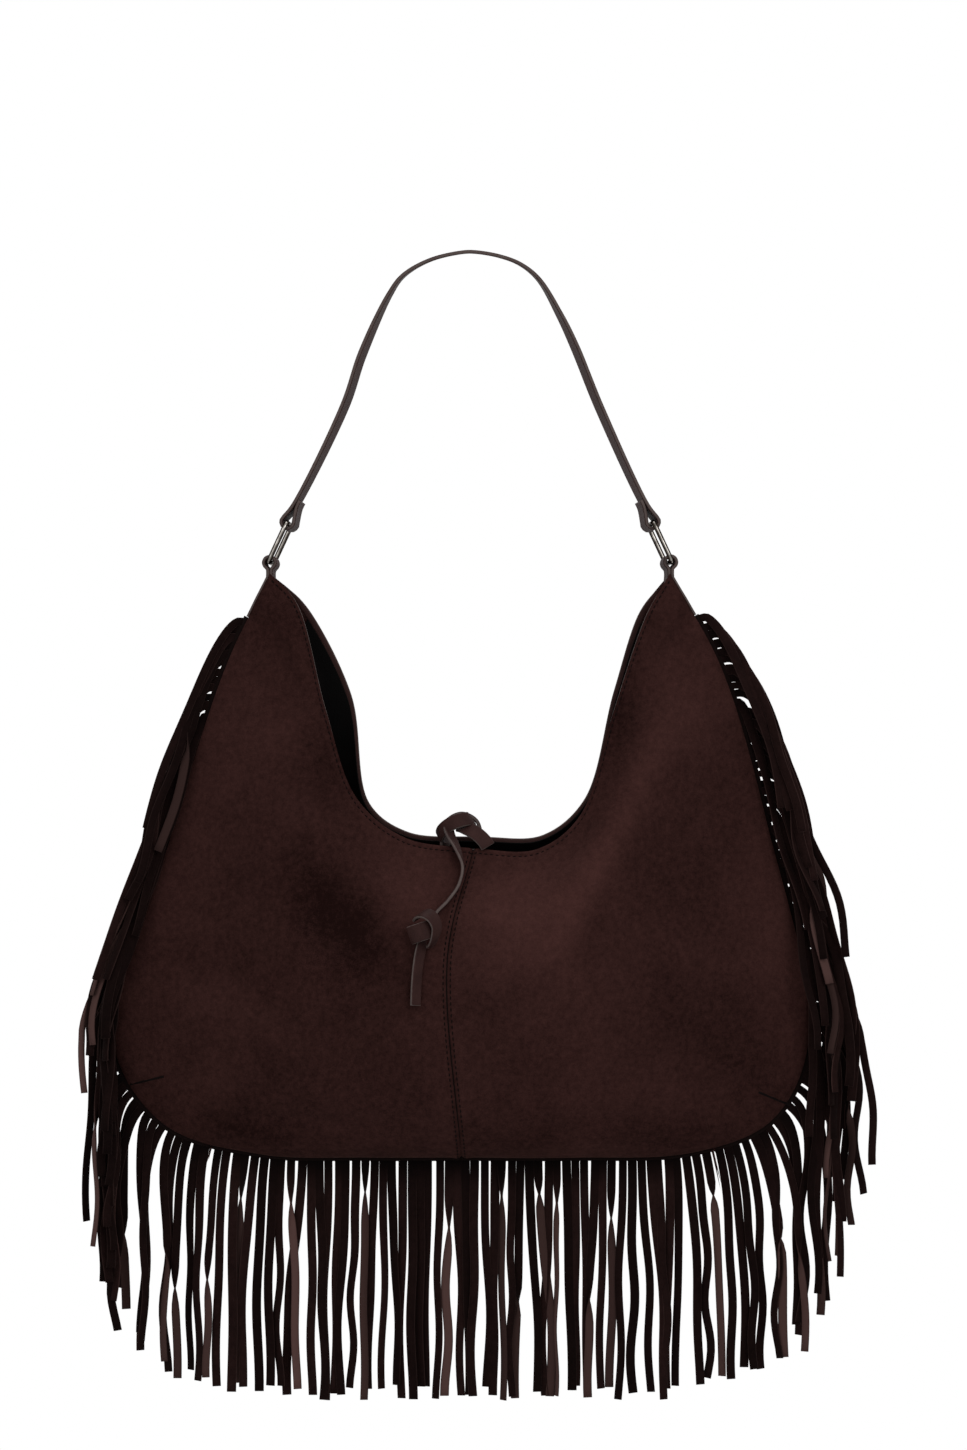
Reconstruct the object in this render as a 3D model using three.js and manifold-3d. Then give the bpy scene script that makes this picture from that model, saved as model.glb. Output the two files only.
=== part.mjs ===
// A fringed suede shoulder bag that hangs by its strap.
// Millimetres, +Z up. The front faces -Y, and the origin lies under the strap's crown.
import * as THREE from "three";
import { mergeVertices } from "three/addons/utils/BufferGeometryUtils.js";
import Module from "manifold-3d";

const wasm = await Module();
wasm.setup();

// Clearance between pieces that touch
const gap = 0.3;

// Strap: a flat leather band, its ends folded round the rings
const strapWidth = 16;
const strapThickness = 2.8;
const strapDrop = 162;
const strapHalfSpacing = 108.6;
const strapCrownFlat = 8;
const strapLeftRoute = [[-75, -91], [-66, -63], [-45, -19]];
const strapRightRoute = [[38, -11], [63, -55], [78, -93]];
const strapTwist = 0.32;
const strapNeck = 13;
const strapTail = 4;

// Rings: bent wire links between the strap and the tips of the bag
const ringWire = 3;
const ringReach = 25.6;
const ringSidePlay = 2.5;
const ringCorner = 4;
const ringLean = 0.436;
const ringPlay = 1.6;

// Ring tabs: leather loops sewn into the tips
const tabWidth = 12;
const tabThickness = 2;
const tabNeck = 8.5;
const tabLeg = 6;
const tipDrop = 7;
const looseSeat = 0.6;

// Panels: two suede halves in front and two behind, each bounded by the mouth and the outer seam.
// Every place is given as outwards from the middle and down from the tips.
const panelThickness = 1.6;
const bodyHeight = 349;
const bellyDepth = 44;
const bellyHeightShare = 0.5;
const mouthDepth = 9;
const mouthGape = 12;
const leftSide = {
  sign: -1,
  ringYaw: -0.1,
  fringeReach: { top: 10, full: 23, fullShare: 0.25 },
  shoulder: [146, 55],
  flank: [183, 170],
  widest: [214, 278],
  corner: [184, 329],
  baseStart: [126, 347],
};
const rightSide = {
  sign: 1,
  ringYaw: 0.13,
  fringeReach: { top: 14, full: 44, fullShare: 0.5 },
  shoulder: [150, 55],
  flank: [178, 150],
  widest: [203, 278],
  corner: [181, 327],
  baseStart: [134, 346],
};
const baseMiddle = [62, bodyHeight];
const frontMouth = {
  left: [[104, 17], [86, 82], [68, 134], [39, 158]],
  centre: [2, 165],
  right: [[106, 24], [86, 82], [66, 145], [40, 165]],
};
const backMouth = {
  left: [[102, 16], [73, 72], [62, 138], [38, 156]],
  centre: [6, 159],
  right: [[104, 21], [88, 70], [70, 136], [44, 158]],
};
const centreSeamBow = -13;
const centreSeamFoot = -5;
const panelCornerShare = 0.72;
const panelColumns = 8;
const columnGathering = 1.4;
const panelRows = 12;

// Facings and lining inside the panels
const facingThickness = 1;
const facingRows = 3;
const facingTipColumn = 2;
const liningThickness = 0.8;
const liningColumn = 1;
const liningRowGap = 0.03;
const liningFootRows = 2;

// Tip bindings: leather strips that close the outer edge above the fringe
const bindingThickness = 1.6;
const bindingStart = 9;
const bindingLength = 29;

// Fringe: suede strands cut from a heading that is sewn into the outer seam
const headingThickness = 1.4;
const headingInside = 5;
const headingOutside = 3;
const strandPitch = 5.5;
const strandWidth = 4.9;
const strandThickness = 1.2;
const strandLength = 140;
const strandSplay = 0.17;
const strandRoot = 2;
const reachCycle = [1, 0.55, 0.78];
const sideStrandSteps = 3;
const baseStrandSteps = 2;
const sideHeadingSteps = 24;
const baseHeadingSteps = 20;

// Tie: thongs knotted over the mouth
const thongWidth = 7;
const thongThickness = 2.2;
const thongLift = 0.9;
const knotWidth = 19;
const knotHeight = 20;
const knotDepth = 12;
const knotLean = 0.6;

const up = new THREE.Vector3(0, 0, 1);
const depthways = new THREE.Vector3(0, 1, 0);

const suede = { color: 0x2d1c19, roughness: 0.95, metalness: 0 };
const leather = { color: 0x3b2c2a, roughness: 0.6, metalness: 0 };
const cloth = { color: 0x100d0d, roughness: 0.9, metalness: 0 };
const gunmetal = { color: 0x8d8780, roughness: 0.25, metalness: 1 };

const bag = new THREE.Group();

function addPiece(name, geometry, finish) {
  const mesh = new THREE.Mesh(geometry, new THREE.MeshStandardMaterial(finish));
  mesh.name = name;
  bag.add(mesh);
}

function smooth(value) {
  const share = THREE.MathUtils.clamp(value, 0, 1);
  return share * share * (3 - 2 * share);
}

// A point in the plane of the bag, the front view
function flatPoint(x, z) {
  return new THREE.Vector3(x, 0, z);
}

function curveThrough(points) {
  return new THREE.CatmullRomCurve3(points, false, "centripetal");
}

// A box of unit size, cut into steps, with each corner moved to place(x, y, z), all from 0 to 1
function mappedBox(stepsX, stepsY, place) {
  const box = new THREE.BoxGeometry(1, 1, 1, stepsX, stepsY, 1);
  box.deleteAttribute("normal");
  box.deleteAttribute("uv");
  const geometry = mergeVertices(box, 1e-4);
  const position = geometry.attributes.position;
  for (let i = 0; i < position.count; i += 1) {
    const target = place(position.getX(i) + 0.5, position.getY(i) + 0.5, position.getZ(i) + 0.5);
    position.setXYZ(i, target.x, target.y, target.z);
  }
  return faceOutwards(geometry);
}

function faceOutwards(geometry) {
  const position = geometry.attributes.position;
  const index = geometry.index.array;
  const corners = [new THREE.Vector3(), new THREE.Vector3(), new THREE.Vector3()];
  let volume = 0;
  for (let i = 0; i < index.length; i += 3) {
    corners.forEach((corner, k) => corner.fromBufferAttribute(position, index[i + k]));
    volume += corners[0].dot(corners[1].clone().cross(corners[2]));
  }
  if (volume < 0) {
    for (let i = 0; i < index.length; i += 3) {
      [index[i + 1], index[i + 2]] = [index[i + 2], index[i + 1]];
    }
  }
  return geometry;
}

function toSolid(geometry) {
  return new wasm.Manifold(new wasm.Mesh({
    numProp: 3,
    vertProperties: new Float32Array(geometry.attributes.position.array),
    triVerts: new Uint32Array(geometry.index.array),
  }));
}

function toGeometry(solid) {
  const mesh = solid.getMesh();
  const geometry = new THREE.BufferGeometry();
  geometry.setAttribute("position", new THREE.BufferAttribute(mesh.vertProperties, 3));
  geometry.setIndex(new THREE.BufferAttribute(mesh.triVerts, 1));
  return geometry;
}

function joined(geometries) {
  return toGeometry(geometries.map(toSolid).reduce((whole, next) => whole.add(next)));
}

// A flat band along a curve. Its width runs front to back, or along the direction from widthwaysAt.
function bandAlong(curve, steps, width, thickness, widthwaysAt = () => depthways, stationAt = null) {
  return mappedBox(steps, 1, (share, across, side) => {
    const along = stationAt ? stationAt(share) : share;
    const widthways = widthwaysAt(along);
    const outwards = widthways.clone().cross(curve.getTangentAt(along)).normalize();
    return curve.getPointAt(along)
      .addScaledVector(outwards, (across - 0.5) * thickness)
      .addScaledVector(widthways, (side - 0.5) * width);
  });
}

// Points of a loop round a bar: down one leg, round the far side of the bar and back to the other leg.
// The bar bears on the far side of the loop, a seat away from it.
function loopPoints(pivot, legDirection, sideDirection, thickness, neck, seat) {
  const radius = ringWire / 2 + ringPlay + thickness / 2;
  const legSpacing = thickness + gap;
  const at = (along, aside) => pivot.clone()
    .addScaledVector(legDirection, along + ringPlay - seat)
    .addScaledVector(sideDirection, aside);
  const points = [at(neck, legSpacing / 2)];
  for (const angle of [0.33, 0.5, 0.75, 1, 1.25, 1.5, 1.67].map((share) => share * Math.PI)) {
    points.push(at(Math.cos(angle) * radius, Math.sin(angle) * radius));
  }
  points.push(at(neck, -legSpacing / 2));
  return points;
}

// The pivots of the rings, in the strap and in the tabs
function strapPivot(side) {
  return flatPoint(side.sign * strapHalfSpacing, -strapDrop);
}

function ringAxis(side) {
  return flatPoint(-side.sign * Math.sin(ringLean), Math.cos(ringLean));
}

function tabPivot(side) {
  return strapPivot(side).addScaledVector(ringAxis(side), -ringReach);
}

// The direction of a ring's bars: front to back, turned about the ring's length
function barDirection(side, angle) {
  return depthways.clone().applyAxisAngle(ringAxis(side), angle);
}

function tipPoint(side) {
  return tabPivot(side).addScaledVector(up, -tipDrop);
}

function buildStrap() {
  const crownHeight = strapThickness / 2;
  const crown = [-1, 1].map((sign) => flatPoint(sign * strapCrownFlat / 2, crownHeight));
  const legs = [[leftSide, strapLeftRoute], [rightSide, strapRightRoute]].map(([side, route]) => {
    const routePoints = route.map(([x, z]) => flatPoint(x, z));
    const kneePoint = side === leftSide ? routePoints[0] : routePoints.at(-1);
    const pivot = strapPivot(side);
    const legDirection = kneePoint.clone().sub(pivot).normalize();
    const outerDirection = depthways.clone().cross(legDirection).multiplyScalar(side.sign);
    const loop = loopPoints(pivot, legDirection, outerDirection, strapThickness, strapNeck, gap);
    loop.push(loop.at(-1).clone().addScaledVector(legDirection, strapTail));
    return { routePoints, loop, loopLength: curveThrough(loop).getLength() };
  });
  const [left, right] = legs;
  const curve = curveThrough([
    ...left.loop.toReversed(), ...left.routePoints, ...crown, ...right.routePoints, ...right.loop,
  ]);
  const loopSteps = 20;
  const steps = 2 * loopSteps + 30;
  const loopShare = left.loopLength / (curve.getLength() / 2);
  const stationAt = (along) => {
    const fromCrown = Math.abs(along - 0.5) * 2;
    const loopStart = 1 - (2 * loopSteps) / steps;
    const place = fromCrown > loopStart
      ? THREE.MathUtils.mapLinear(fromCrown, loopStart, 1, 1 - loopShare, 1)
      : THREE.MathUtils.mapLinear(fromCrown, 0, loopStart, 0, 1 - loopShare);
    return 0.5 + Math.sign(along - 0.5) * place / 2;
  };
  const widthwaysAt = (along) => {
    const side = along < 0.5 ? leftSide : rightSide;
    const fromCrown = Math.abs(along - 0.5) * 2;
    const legTwist = Math.sign(side.ringYaw) * strapTwist * smooth(fromCrown * 3 - 0.3);
    const turn = smooth((fromCrown - 0.5) / (0.5 - loopShare));
    return barDirection(side, THREE.MathUtils.lerp(legTwist, side.ringYaw, turn));
  };
  addPiece("strap", bandAlong(curve, steps, strapWidth, strapThickness, widthwaysAt, stationAt), leather);
}

function buildRing(name, side) {
  const halfWidth = strapWidth / 2 + ringSidePlay + ringWire / 2;
  const halfReach = ringReach / 2;
  const outline = new THREE.Path();
  outline.moveTo(halfWidth, -halfReach + ringCorner);
  outline.lineTo(halfWidth, halfReach - ringCorner);
  outline.absarc(halfWidth - ringCorner, halfReach - ringCorner, ringCorner, 0, Math.PI / 2);
  outline.lineTo(-halfWidth + ringCorner, halfReach);
  outline.absarc(-halfWidth + ringCorner, halfReach - ringCorner, ringCorner, Math.PI / 2, Math.PI);
  outline.lineTo(-halfWidth, -halfReach + ringCorner);
  outline.absarc(-halfWidth + ringCorner, -halfReach + ringCorner, ringCorner, Math.PI, Math.PI * 1.5);
  outline.lineTo(halfWidth - ringCorner, -halfReach);
  outline.absarc(halfWidth - ringCorner, -halfReach + ringCorner, ringCorner, Math.PI * 1.5, Math.PI * 2);
  const cornerSteps = 4;
  const samePlace = 0.01;
  const corners = outline.getPoints(cornerSteps)
    .filter((point, i, all) => i === 0 || point.distanceTo(all[i - 1]) > samePlace);
  if (corners.at(-1).distanceTo(corners[0]) < samePlace) {
    corners.pop();
  }
  const sectionSides = 8;
  const middle = strapPivot(side).add(tabPivot(side)).multiplyScalar(0.5);
  const bars = barDirection(side, side.ringYaw);
  const length = ringAxis(side);
  const facing = bars.clone().cross(length);
  const vertices = [];
  const triangles = [];
  corners.forEach((corner, i) => {
    const before = corners.at(i - 1);
    const after = corners[(i + 1) % corners.length];
    const outwards = new THREE.Vector2(after.y - before.y, before.x - after.x).normalize();
    for (let k = 0; k < sectionSides; k += 1) {
      const angle = (k / sectionSides) * Math.PI * 2;
      const out = Math.cos(angle) * ringWire / 2;
      const place = middle.clone()
        .addScaledVector(facing, Math.sin(angle) * ringWire / 2)
        .addScaledVector(bars, corner.x + outwards.x * out)
        .addScaledVector(length, corner.y + outwards.y * out);
      vertices.push(...place.toArray());
      const next = (k + 1) % sectionSides;
      const row = i * sectionSides;
      const nextRow = ((i + 1) % corners.length) * sectionSides;
      triangles.push(row + k, nextRow + k, nextRow + next, row + k, nextRow + next, row + next);
    }
  });
  const geometry = new THREE.BufferGeometry();
  geometry.setAttribute("position", new THREE.Float32BufferAttribute(vertices, 3));
  geometry.setIndex(triangles);
  addPiece(name, faceOutwards(geometry), gunmetal);
}

function buildTab(name, side, seat) {
  const pivot = tabPivot(side);
  const down = up.clone().negate();
  const sideDirection = flatPoint(side.sign, 0);
  const loop = loopPoints(pivot, down, sideDirection, tabThickness, tabNeck, seat);
  const legEnd = (point) => point.clone().addScaledVector(down, tabLeg);
  const curve = curveThrough([legEnd(loop[0]), ...loop, legEnd(loop.at(-1))]);
  const tabSteps = 20;
  const widthwaysAt = () => barDirection(side, side.ringYaw);
  addPiece(name, bandAlong(curve, tabSteps, tabWidth, tabThickness, widthwaysAt), leather);
}

// Curves of the panels, each in the plane of the front view
function sidePoint(side, [outwards, downwards]) {
  return flatPoint(side.sign * outwards, tipPoint(side).z - downwards);
}

function seamCurve(side) {
  const foot = flatPoint(centreSeamFoot, tipPoint(side).z - bodyHeight);
  const places = [side.shoulder, side.flank, side.widest, side.corner, side.baseStart, baseMiddle];
  return curveThrough([tipPoint(side), ...places.map((place) => sidePoint(side, place)), foot]);
}

function mouthCurve(side, mouth) {
  const places = side === leftSide ? mouth.left : mouth.right;
  const centre = sidePoint(rightSide, mouth.centre);
  return curveThrough([tipPoint(side), ...places.map((place) => sidePoint(side, place)), centre]);
}

function centreCurve(mouth) {
  const top = sidePoint(rightSide, mouth.centre);
  const foot = flatPoint(centreSeamFoot, tipPoint(rightSide).z - bodyHeight);
  return curveThrough([top, flatPoint(centreSeamBow, (top.z * 2 + foot.z) / 3), foot]);
}

const edgeDepth = headingThickness / 2 + gap + panelThickness / 2;
const tipDepth = tabWidth / 2 + gap + panelThickness / 2;

// How far the panels stand off their seam beside a tab, at a distance along the seam from the tip
function tipSwell(distance) {
  const held = 2 * (tabNeck + tabLeg - tipDrop);
  return (tipDepth - edgeDepth) * (1 - smooth((distance - held) / (bindingLength - held)));
}

// One half of the front or back: at(u, v) runs from the outer seam to the centre seam and from the
// mouth to the base, and gives the middle of the suede
function makeHalf(side, mouth, facing) {
  const seam = seamCurve(side);
  const seamLength = seam.getLength();
  const mouthEdge = mouthCurve(side, mouth);
  const centre = centreCurve(mouth);
  const outer = (v) => seam.getPointAt(v * panelCornerShare);
  const base = (u) => seam.getPointAt(panelCornerShare + u * (1 - panelCornerShare));
  const depth = (u, v) => {
    const climb = Math.sin(Math.min(1, v / bellyHeightShare) * Math.PI / 2);
    const rise = THREE.MathUtils.lerp(mouthDepth / bellyDepth, 1, climb);
    const below = Math.max(0, (v - bellyHeightShare) / (1 - bellyHeightShare));
    const fall = Math.sqrt(Math.max(0, 1 - below ** 2));
    const belly = bellyDepth * (1 - (1 - u) ** 2) * rise * fall;
    const gape = mouthGape * Math.sin(Math.PI * u) * (1 - v) ** 3;
    const tip = tipSwell(v * panelCornerShare * seamLength) * (1 - smooth(u * 4 - 0.3));
    return edgeDepth + belly + gape + tip;
  };
  const at = (u, v) => {
    const corners = [
      [outer(0), (1 - u) * (1 - v)], [centre.getPointAt(0), u * (1 - v)],
      [base(0), (1 - u) * v], [centre.getPointAt(1), u * v],
    ];
    const point = new THREE.Vector3()
      .addScaledVector(mouthEdge.getPointAt(u), 1 - v)
      .addScaledVector(base(u), v)
      .addScaledVector(outer(v), 1 - u)
      .addScaledVector(centre.getPointAt(v), u);
    corners.forEach(([corner, weight]) => point.addScaledVector(corner, -weight));
    point.x += side.sign * u ** 8 * gap / 2;
    point.y = facing * depth(u, v);
    return point;
  };
  return { side, facing, seam, seamLength, at };
}

const frontLeft = makeHalf(leftSide, frontMouth, -1);
const frontRight = makeHalf(rightSide, frontMouth, -1);
const backLeft = makeHalf(leftSide, backMouth, 1);
const backRight = makeHalf(rightSide, backMouth, 1);

// A place on a half's grid of flat facets, pushed inwards from the suede's middle by inset
function gridPoint(half, column, row, inset) {
  const corner = (i, j) => half.at((i / panelColumns) ** columnGathering, smooth(j / panelRows));
  const i = Math.min(Math.floor(column), panelColumns - 1);
  const j = Math.min(Math.floor(row), panelRows - 1);
  const upper = corner(i, j).lerp(corner(i + 1, j), column - i);
  const lower = corner(i, j + 1).lerp(corner(i + 1, j + 1), column - i);
  const point = upper.lerp(lower, row - j);
  point.y -= half.facing * inset;
  return point;
}

function buildPanel(name, half) {
  addPiece(name, mappedBox(panelColumns, panelRows, (across, down, layer) => {
    const column = panelColumns * (half.side === leftSide ? across : 1 - across);
    return gridPoint(half, column, panelRows * down, (layer - 0.5) * panelThickness);
  }), suede);
}

// Grid lines from the first place to the last, with every whole line between them
function gridLines(first, last) {
  const lines = [first];
  for (let line = Math.floor(first) + 1; line < last; line += 1) {
    lines.push(line);
  }
  return [...lines, last];
}

// A sheet across both halves inside the panels, on the panels' own grid lines
function innerSheet(left, right, firstColumn, firstRow, lastRow, thickness) {
  const columns = gridLines(firstColumn, panelColumns);
  const rows = gridLines(firstRow, lastRow);
  const lastColumn = columns.length - 1;
  const inset = panelThickness / 2 + gap + thickness / 2;
  return mappedBox(2 * lastColumn, rows.length - 1, (across, down, layer) => {
    const step = Math.round(across * 2 * lastColumn);
    const half = step < lastColumn ? left : right;
    const column = columns[lastColumn - Math.abs(step - lastColumn)];
    const row = rows[Math.round(down * (rows.length - 1))];
    const point = gridPoint(half, column, row, inset + (0.5 - layer) * thickness);
    if (step === lastColumn) {
      point.x -= half.side.sign * gap / 2;
    }
    return point;
  });
}

function buildInside(name, left, right) {
  const facing = innerSheet(left, right, facingTipColumn, 0, facingRows, facingThickness);
  addPiece(`${name}_mouth_facing`, facing, leather);
  const lining = innerSheet(
    left, right, liningColumn, facingRows + liningRowGap, panelRows - liningFootRows, liningThickness,
  );
  addPiece(`lining_${name}`, lining, cloth);
}

// A strip along the outer seam, from inner to outer along the seam's normal
function seamStrip(seam, from, to, steps, inner, outer, halfDepthAt) {
  const length = seam.getLength();
  return mappedBox(steps, 1, (along, across, side) => {
    const distance = THREE.MathUtils.lerp(from, to, along);
    const point = seamPlace(seam, distance / length, THREE.MathUtils.lerp(inner, outer, across));
    point.y = (side * 2 - 1) * halfDepthAt(distance);
    return point;
  });
}

function seamNormal(seam, share) {
  const tangent = seam.getTangentAt(share);
  const normal = depthways.clone().cross(tangent);
  return normal.multiplyScalar(-Math.sign(seam.getPointAt(0).x));
}

function seamPlace(seam, share, outwards) {
  return seam.getPointAt(share).addScaledVector(seamNormal(seam, share), outwards);
}

function buildBinding(name, half) {
  const halfDepthAt = (distance) => edgeDepth + panelThickness / 2 + tipSwell(distance);
  const bindingSteps = 6;
  const outer = gap + bindingThickness;
  const strip = seamStrip(half.seam, bindingStart, bindingLength, bindingSteps, gap, outer, halfDepthAt);
  addPiece(name, strip, leather);
}

// The path of one strand: out along the seam's normal, then down beside the bag and hanging free
function strandPath(half, distance, splay, reachShare) {
  const share = distance / half.seamLength;
  const root = half.seam.getPointAt(share);
  const normal = seamNormal(half.seam, share);
  const widestZ = sidePoint(half.side, half.side.widest).z;
  const followsSide = root.z >= widestZ;
  const outlineX = (z) => (
    followsSide && z < root.z ? seamAtHeight(half, Math.max(z, widestZ)).x : root.x
  );
  const startOut = headingOutside - strandRoot;
  const { top, full, fullShare } = half.side.fringeReach;
  const reach = reachShare * THREE.MathUtils.lerp(top, full, Math.min(1, share / fullShare));
  return (travel) => {
    const out = reach * (1 - Math.exp(-travel / reach));
    const z = root.z + normal.z * (startOut + out) - (travel - out);
    const x = outlineX(z) + normal.x * (startOut + out);
    return new THREE.Vector3(x, splay * travel, z);
  };
}

function seamAtHeight(half, z) {
  let low = 0;
  let high = panelCornerShare;
  for (let i = 0; i < 30; i += 1) {
    const share = (low + high) / 2;
    if (half.seam.getPointAt(share).z > z) {
      low = share;
    } else {
      high = share;
    }
  }
  return half.seam.getPointAt(low);
}

function strandSolid(half, distance, splay, reachShare, steps) {
  const path = strandPath(half, distance, splay, reachShare);
  return mappedBox(steps, 1, (along, across, side) => {
    const travel = strandLength * along ** 1.5;
    const ahead = path(travel + 0.5).sub(path(Math.max(0, travel - 0.5)));
    const aside = flatPoint(ahead.z, -ahead.x).normalize();
    return path(travel)
      .addScaledVector(aside, (across - 0.5) * strandWidth)
      .addScaledVector(depthways, (side - 0.5) * strandThickness);
  });
}

// A row of strands, laid out from the end of its stretch of the seam
function strandRow(half, from, to, steps) {
  const count = Math.floor((to - from) / strandPitch);
  const strands = [];
  for (let i = 0; i < count; i += 1) {
    const distance = to - (i + 0.5) * strandPitch;
    const sidewaysness = Math.abs(seamNormal(half.seam, distance / half.seamLength).x);
    const splay = strandSplay * sidewaysness * (i % 2 === 0 ? -1 : 1);
    const reachShare = reachCycle[i % reachCycle.length];
    strands.push(strandSolid(half, distance, splay, reachShare, steps));
  }
  return strands;
}

function buildFringe() {
  const halfDepthAt = () => headingThickness / 2;
  const heading = (half, from, to, steps) => (
    seamStrip(half.seam, from, to, steps, -headingInside, headingOutside, halfDepthAt)
  );
  const cornerAt = (half) => half.seamLength * panelCornerShare;
  const start = bindingLength + gap;
  for (const [name, half] of [["fringe_left", frontLeft], ["fringe_right", frontRight]]) {
    const end = cornerAt(half) - gap / 2;
    const strands = strandRow(half, start, end, sideStrandSteps);
    addPiece(name, joined([heading(half, start, end, sideHeadingSteps), ...strands]), suede);
  }
  const bottomHeading = mappedBox(baseHeadingSteps, 1, (along, across, side) => {
    const half = along < 0.5 ? frontLeft : frontRight;
    const cornerShare = (cornerAt(half) + gap / 2) / half.seamLength;
    const share = THREE.MathUtils.lerp(1, cornerShare, Math.abs(2 * along - 1));
    const point = seamPlace(half.seam, share, THREE.MathUtils.lerp(-headingInside, headingOutside, across));
    point.y = (side - 0.5) * headingThickness;
    return point;
  });
  const bottomStrands = [frontLeft, frontRight].map((half) => (
    strandRow(half, cornerAt(half) + gap / 2, half.seamLength, baseStrandSteps)
  ));
  addPiece("fringe_bottom", joined([bottomHeading, ...bottomStrands.flat()]), suede);
}

// The outer face of the front, lifted so that a thong on edge lies against it
function onFront(u, v) {
  const point = frontLeft.at(u, v);
  point.y -= panelThickness / 2 + thongLift + thongWidth / 2;
  return point;
}

function buildTie() {
  const mouth = sidePoint(rightSide, frontMouth.centre);
  const nearMouth = (x, y, z) => new THREE.Vector3(mouth.x + x, y, mouth.z + z);
  const arch = curveThrough([
    nearMouth(4, 2, -16), nearMouth(5, 2, 4), nearMouth(2, 1, 17), nearMouth(-7, 0, 21.5),
    nearMouth(-16, -1, 17), nearMouth(-19, -1, 6), nearMouth(-17, -1, -14),
  ]);
  addPiece("tie_back_thong", bandAlong(arch, 18, thongWidth, thongThickness), leather);
  const short = curveThrough([
    nearMouth(-0.1, -1, 13), nearMouth(3.6, -12, 12), nearMouth(9, -20, 4), nearMouth(13, -22, -5),
  ]);
  addPiece("tie_front_thong", bandAlong(short, 8, thongWidth, thongThickness), leather);
  const tailTop = [nearMouth(-15.3, -5, 14), nearMouth(-14, -13, 8)];
  const knotMiddle = onFront(0.912, 0.255);
  knotMiddle.y = onFront(0.912, 0.3).y - (knotDepth - thongWidth) / 2;
  const fromTail = flatPoint(Math.sin(knotLean), Math.cos(knotLean));
  const tailEnd = knotMiddle.clone().addScaledVector(fromTail, knotHeight / 2 + gap);
  const tailRun = [[0.945, 0.01], [0.973, 0.045], [0.98, 0.09], [0.965, 0.135]];
  const tail = curveThrough([...tailTop, ...tailRun.map(([u, v]) => onFront(u, v)), tailEnd]);
  addPiece("tie_tail", bandAlong(tail, 18, thongWidth, thongThickness), leather);
  const core = mergeVertices(stripped(new THREE.SphereGeometry(0.5, 14, 8)));
  core.scale(knotWidth, knotDepth, knotHeight);
  const wrap = mergeVertices(stripped(new THREE.TorusGeometry(knotWidth * 0.36, thongThickness, 6, 16)));
  wrap.scale(1, 1, thongWidth / (2 * thongThickness));
  wrap.rotateX(Math.PI / 2);
  wrap.rotateY(Math.PI / 4);
  const knot = joined([faceOutwards(core), faceOutwards(wrap)]);
  knot.translate(knotMiddle.x, knotMiddle.y, knotMiddle.z);
  addPiece("tie_end_knot", knot, leather);
  const tipTop = knotMiddle.clone().addScaledVector(up, -knotHeight / 2 - gap);
  const tip = curveThrough([tipTop, onFront(0.9, 0.38), onFront(0.895, 0.47)]);
  addPiece("tie_tail_tip", bandAlong(tip, 6, thongWidth, thongThickness), leather);
}

function stripped(geometry) {
  geometry.deleteAttribute("normal");
  geometry.deleteAttribute("uv");
  return geometry;
}

buildStrap();
buildRing("ring_left", leftSide);
buildRing("ring_right", rightSide);
buildTab("ring_tab_left", leftSide, gap);
buildTab("ring_tab_right", rightSide, looseSeat);
buildBinding("tip_binding_left", frontLeft);
buildBinding("tip_binding_right", frontRight);
buildPanel("front_panel_left", frontLeft);
buildPanel("front_panel_right", frontRight);
buildPanel("back_panel_left", backLeft);
buildPanel("back_panel_right", backRight);
buildInside("front", frontLeft, frontRight);
buildInside("back", backLeft, backRight);
buildFringe();
buildTie();

export default bag;
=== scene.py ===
"""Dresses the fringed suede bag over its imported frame: panels, fringe, strap, rings and tie."""
import logging
import math
import random
from bisect import bisect_right
from dataclasses import dataclass, field
from enum import Enum
from typing import Callable, Sequence

import bmesh
import bpy
from mathutils import Matrix, Vector, noise


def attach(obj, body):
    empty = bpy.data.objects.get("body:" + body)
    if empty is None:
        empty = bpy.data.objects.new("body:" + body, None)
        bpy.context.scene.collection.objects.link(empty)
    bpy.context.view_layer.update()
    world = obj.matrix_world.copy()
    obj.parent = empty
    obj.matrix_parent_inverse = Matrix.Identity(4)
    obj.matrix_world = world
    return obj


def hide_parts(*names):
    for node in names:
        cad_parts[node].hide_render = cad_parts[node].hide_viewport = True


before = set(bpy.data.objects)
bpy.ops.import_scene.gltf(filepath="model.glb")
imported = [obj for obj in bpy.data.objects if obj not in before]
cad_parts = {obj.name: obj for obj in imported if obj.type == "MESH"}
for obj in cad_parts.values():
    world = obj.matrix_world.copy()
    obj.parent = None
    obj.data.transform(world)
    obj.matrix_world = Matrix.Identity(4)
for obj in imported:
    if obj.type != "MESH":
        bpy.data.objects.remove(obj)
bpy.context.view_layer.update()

LOG = logging.getLogger("fringed_bag")
MM = 0.001
GAP = 0.3 * MM
DEPTHWAYS = Vector((0.0, 1.0, 0.0))
UP = Vector((0.0, 0.0, 1.0))
Colour = tuple[float, float, float, float]
Place = tuple[float, float]
Span = tuple[float, float]


class Face(Enum):
    """The face of the bag that a half belongs to; its value is the way it looks along Y."""

    FRONT = -1.0
    BACK = 1.0


class Body(Enum):
    """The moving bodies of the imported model."""

    STRAP = "strap"
    RING_LEFT = "ring_left"
    RING_RIGHT = "ring_right"
    BAG = "bag"


def smooth(value: float) -> float:
    """Eases a share from 0 to 1, held at both ends."""
    share = min(1.0, max(0.0, value))
    return share * share * (3.0 - 2.0 * share)


def lerp(first: float, last: float, share: float) -> float:
    """Gives the value a share of the way from first to last."""
    return first + (last - first) * share


def bump(distance: float, width: float) -> float:
    """Gives a soft round bump that is 1 at no distance and fades over the width."""
    return math.exp(-((distance / width) ** 2))


def flat_point(x: float, z: float) -> Vector:
    """Gives a point in the plane of the front view."""
    return Vector((x, 0.0, z))


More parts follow.
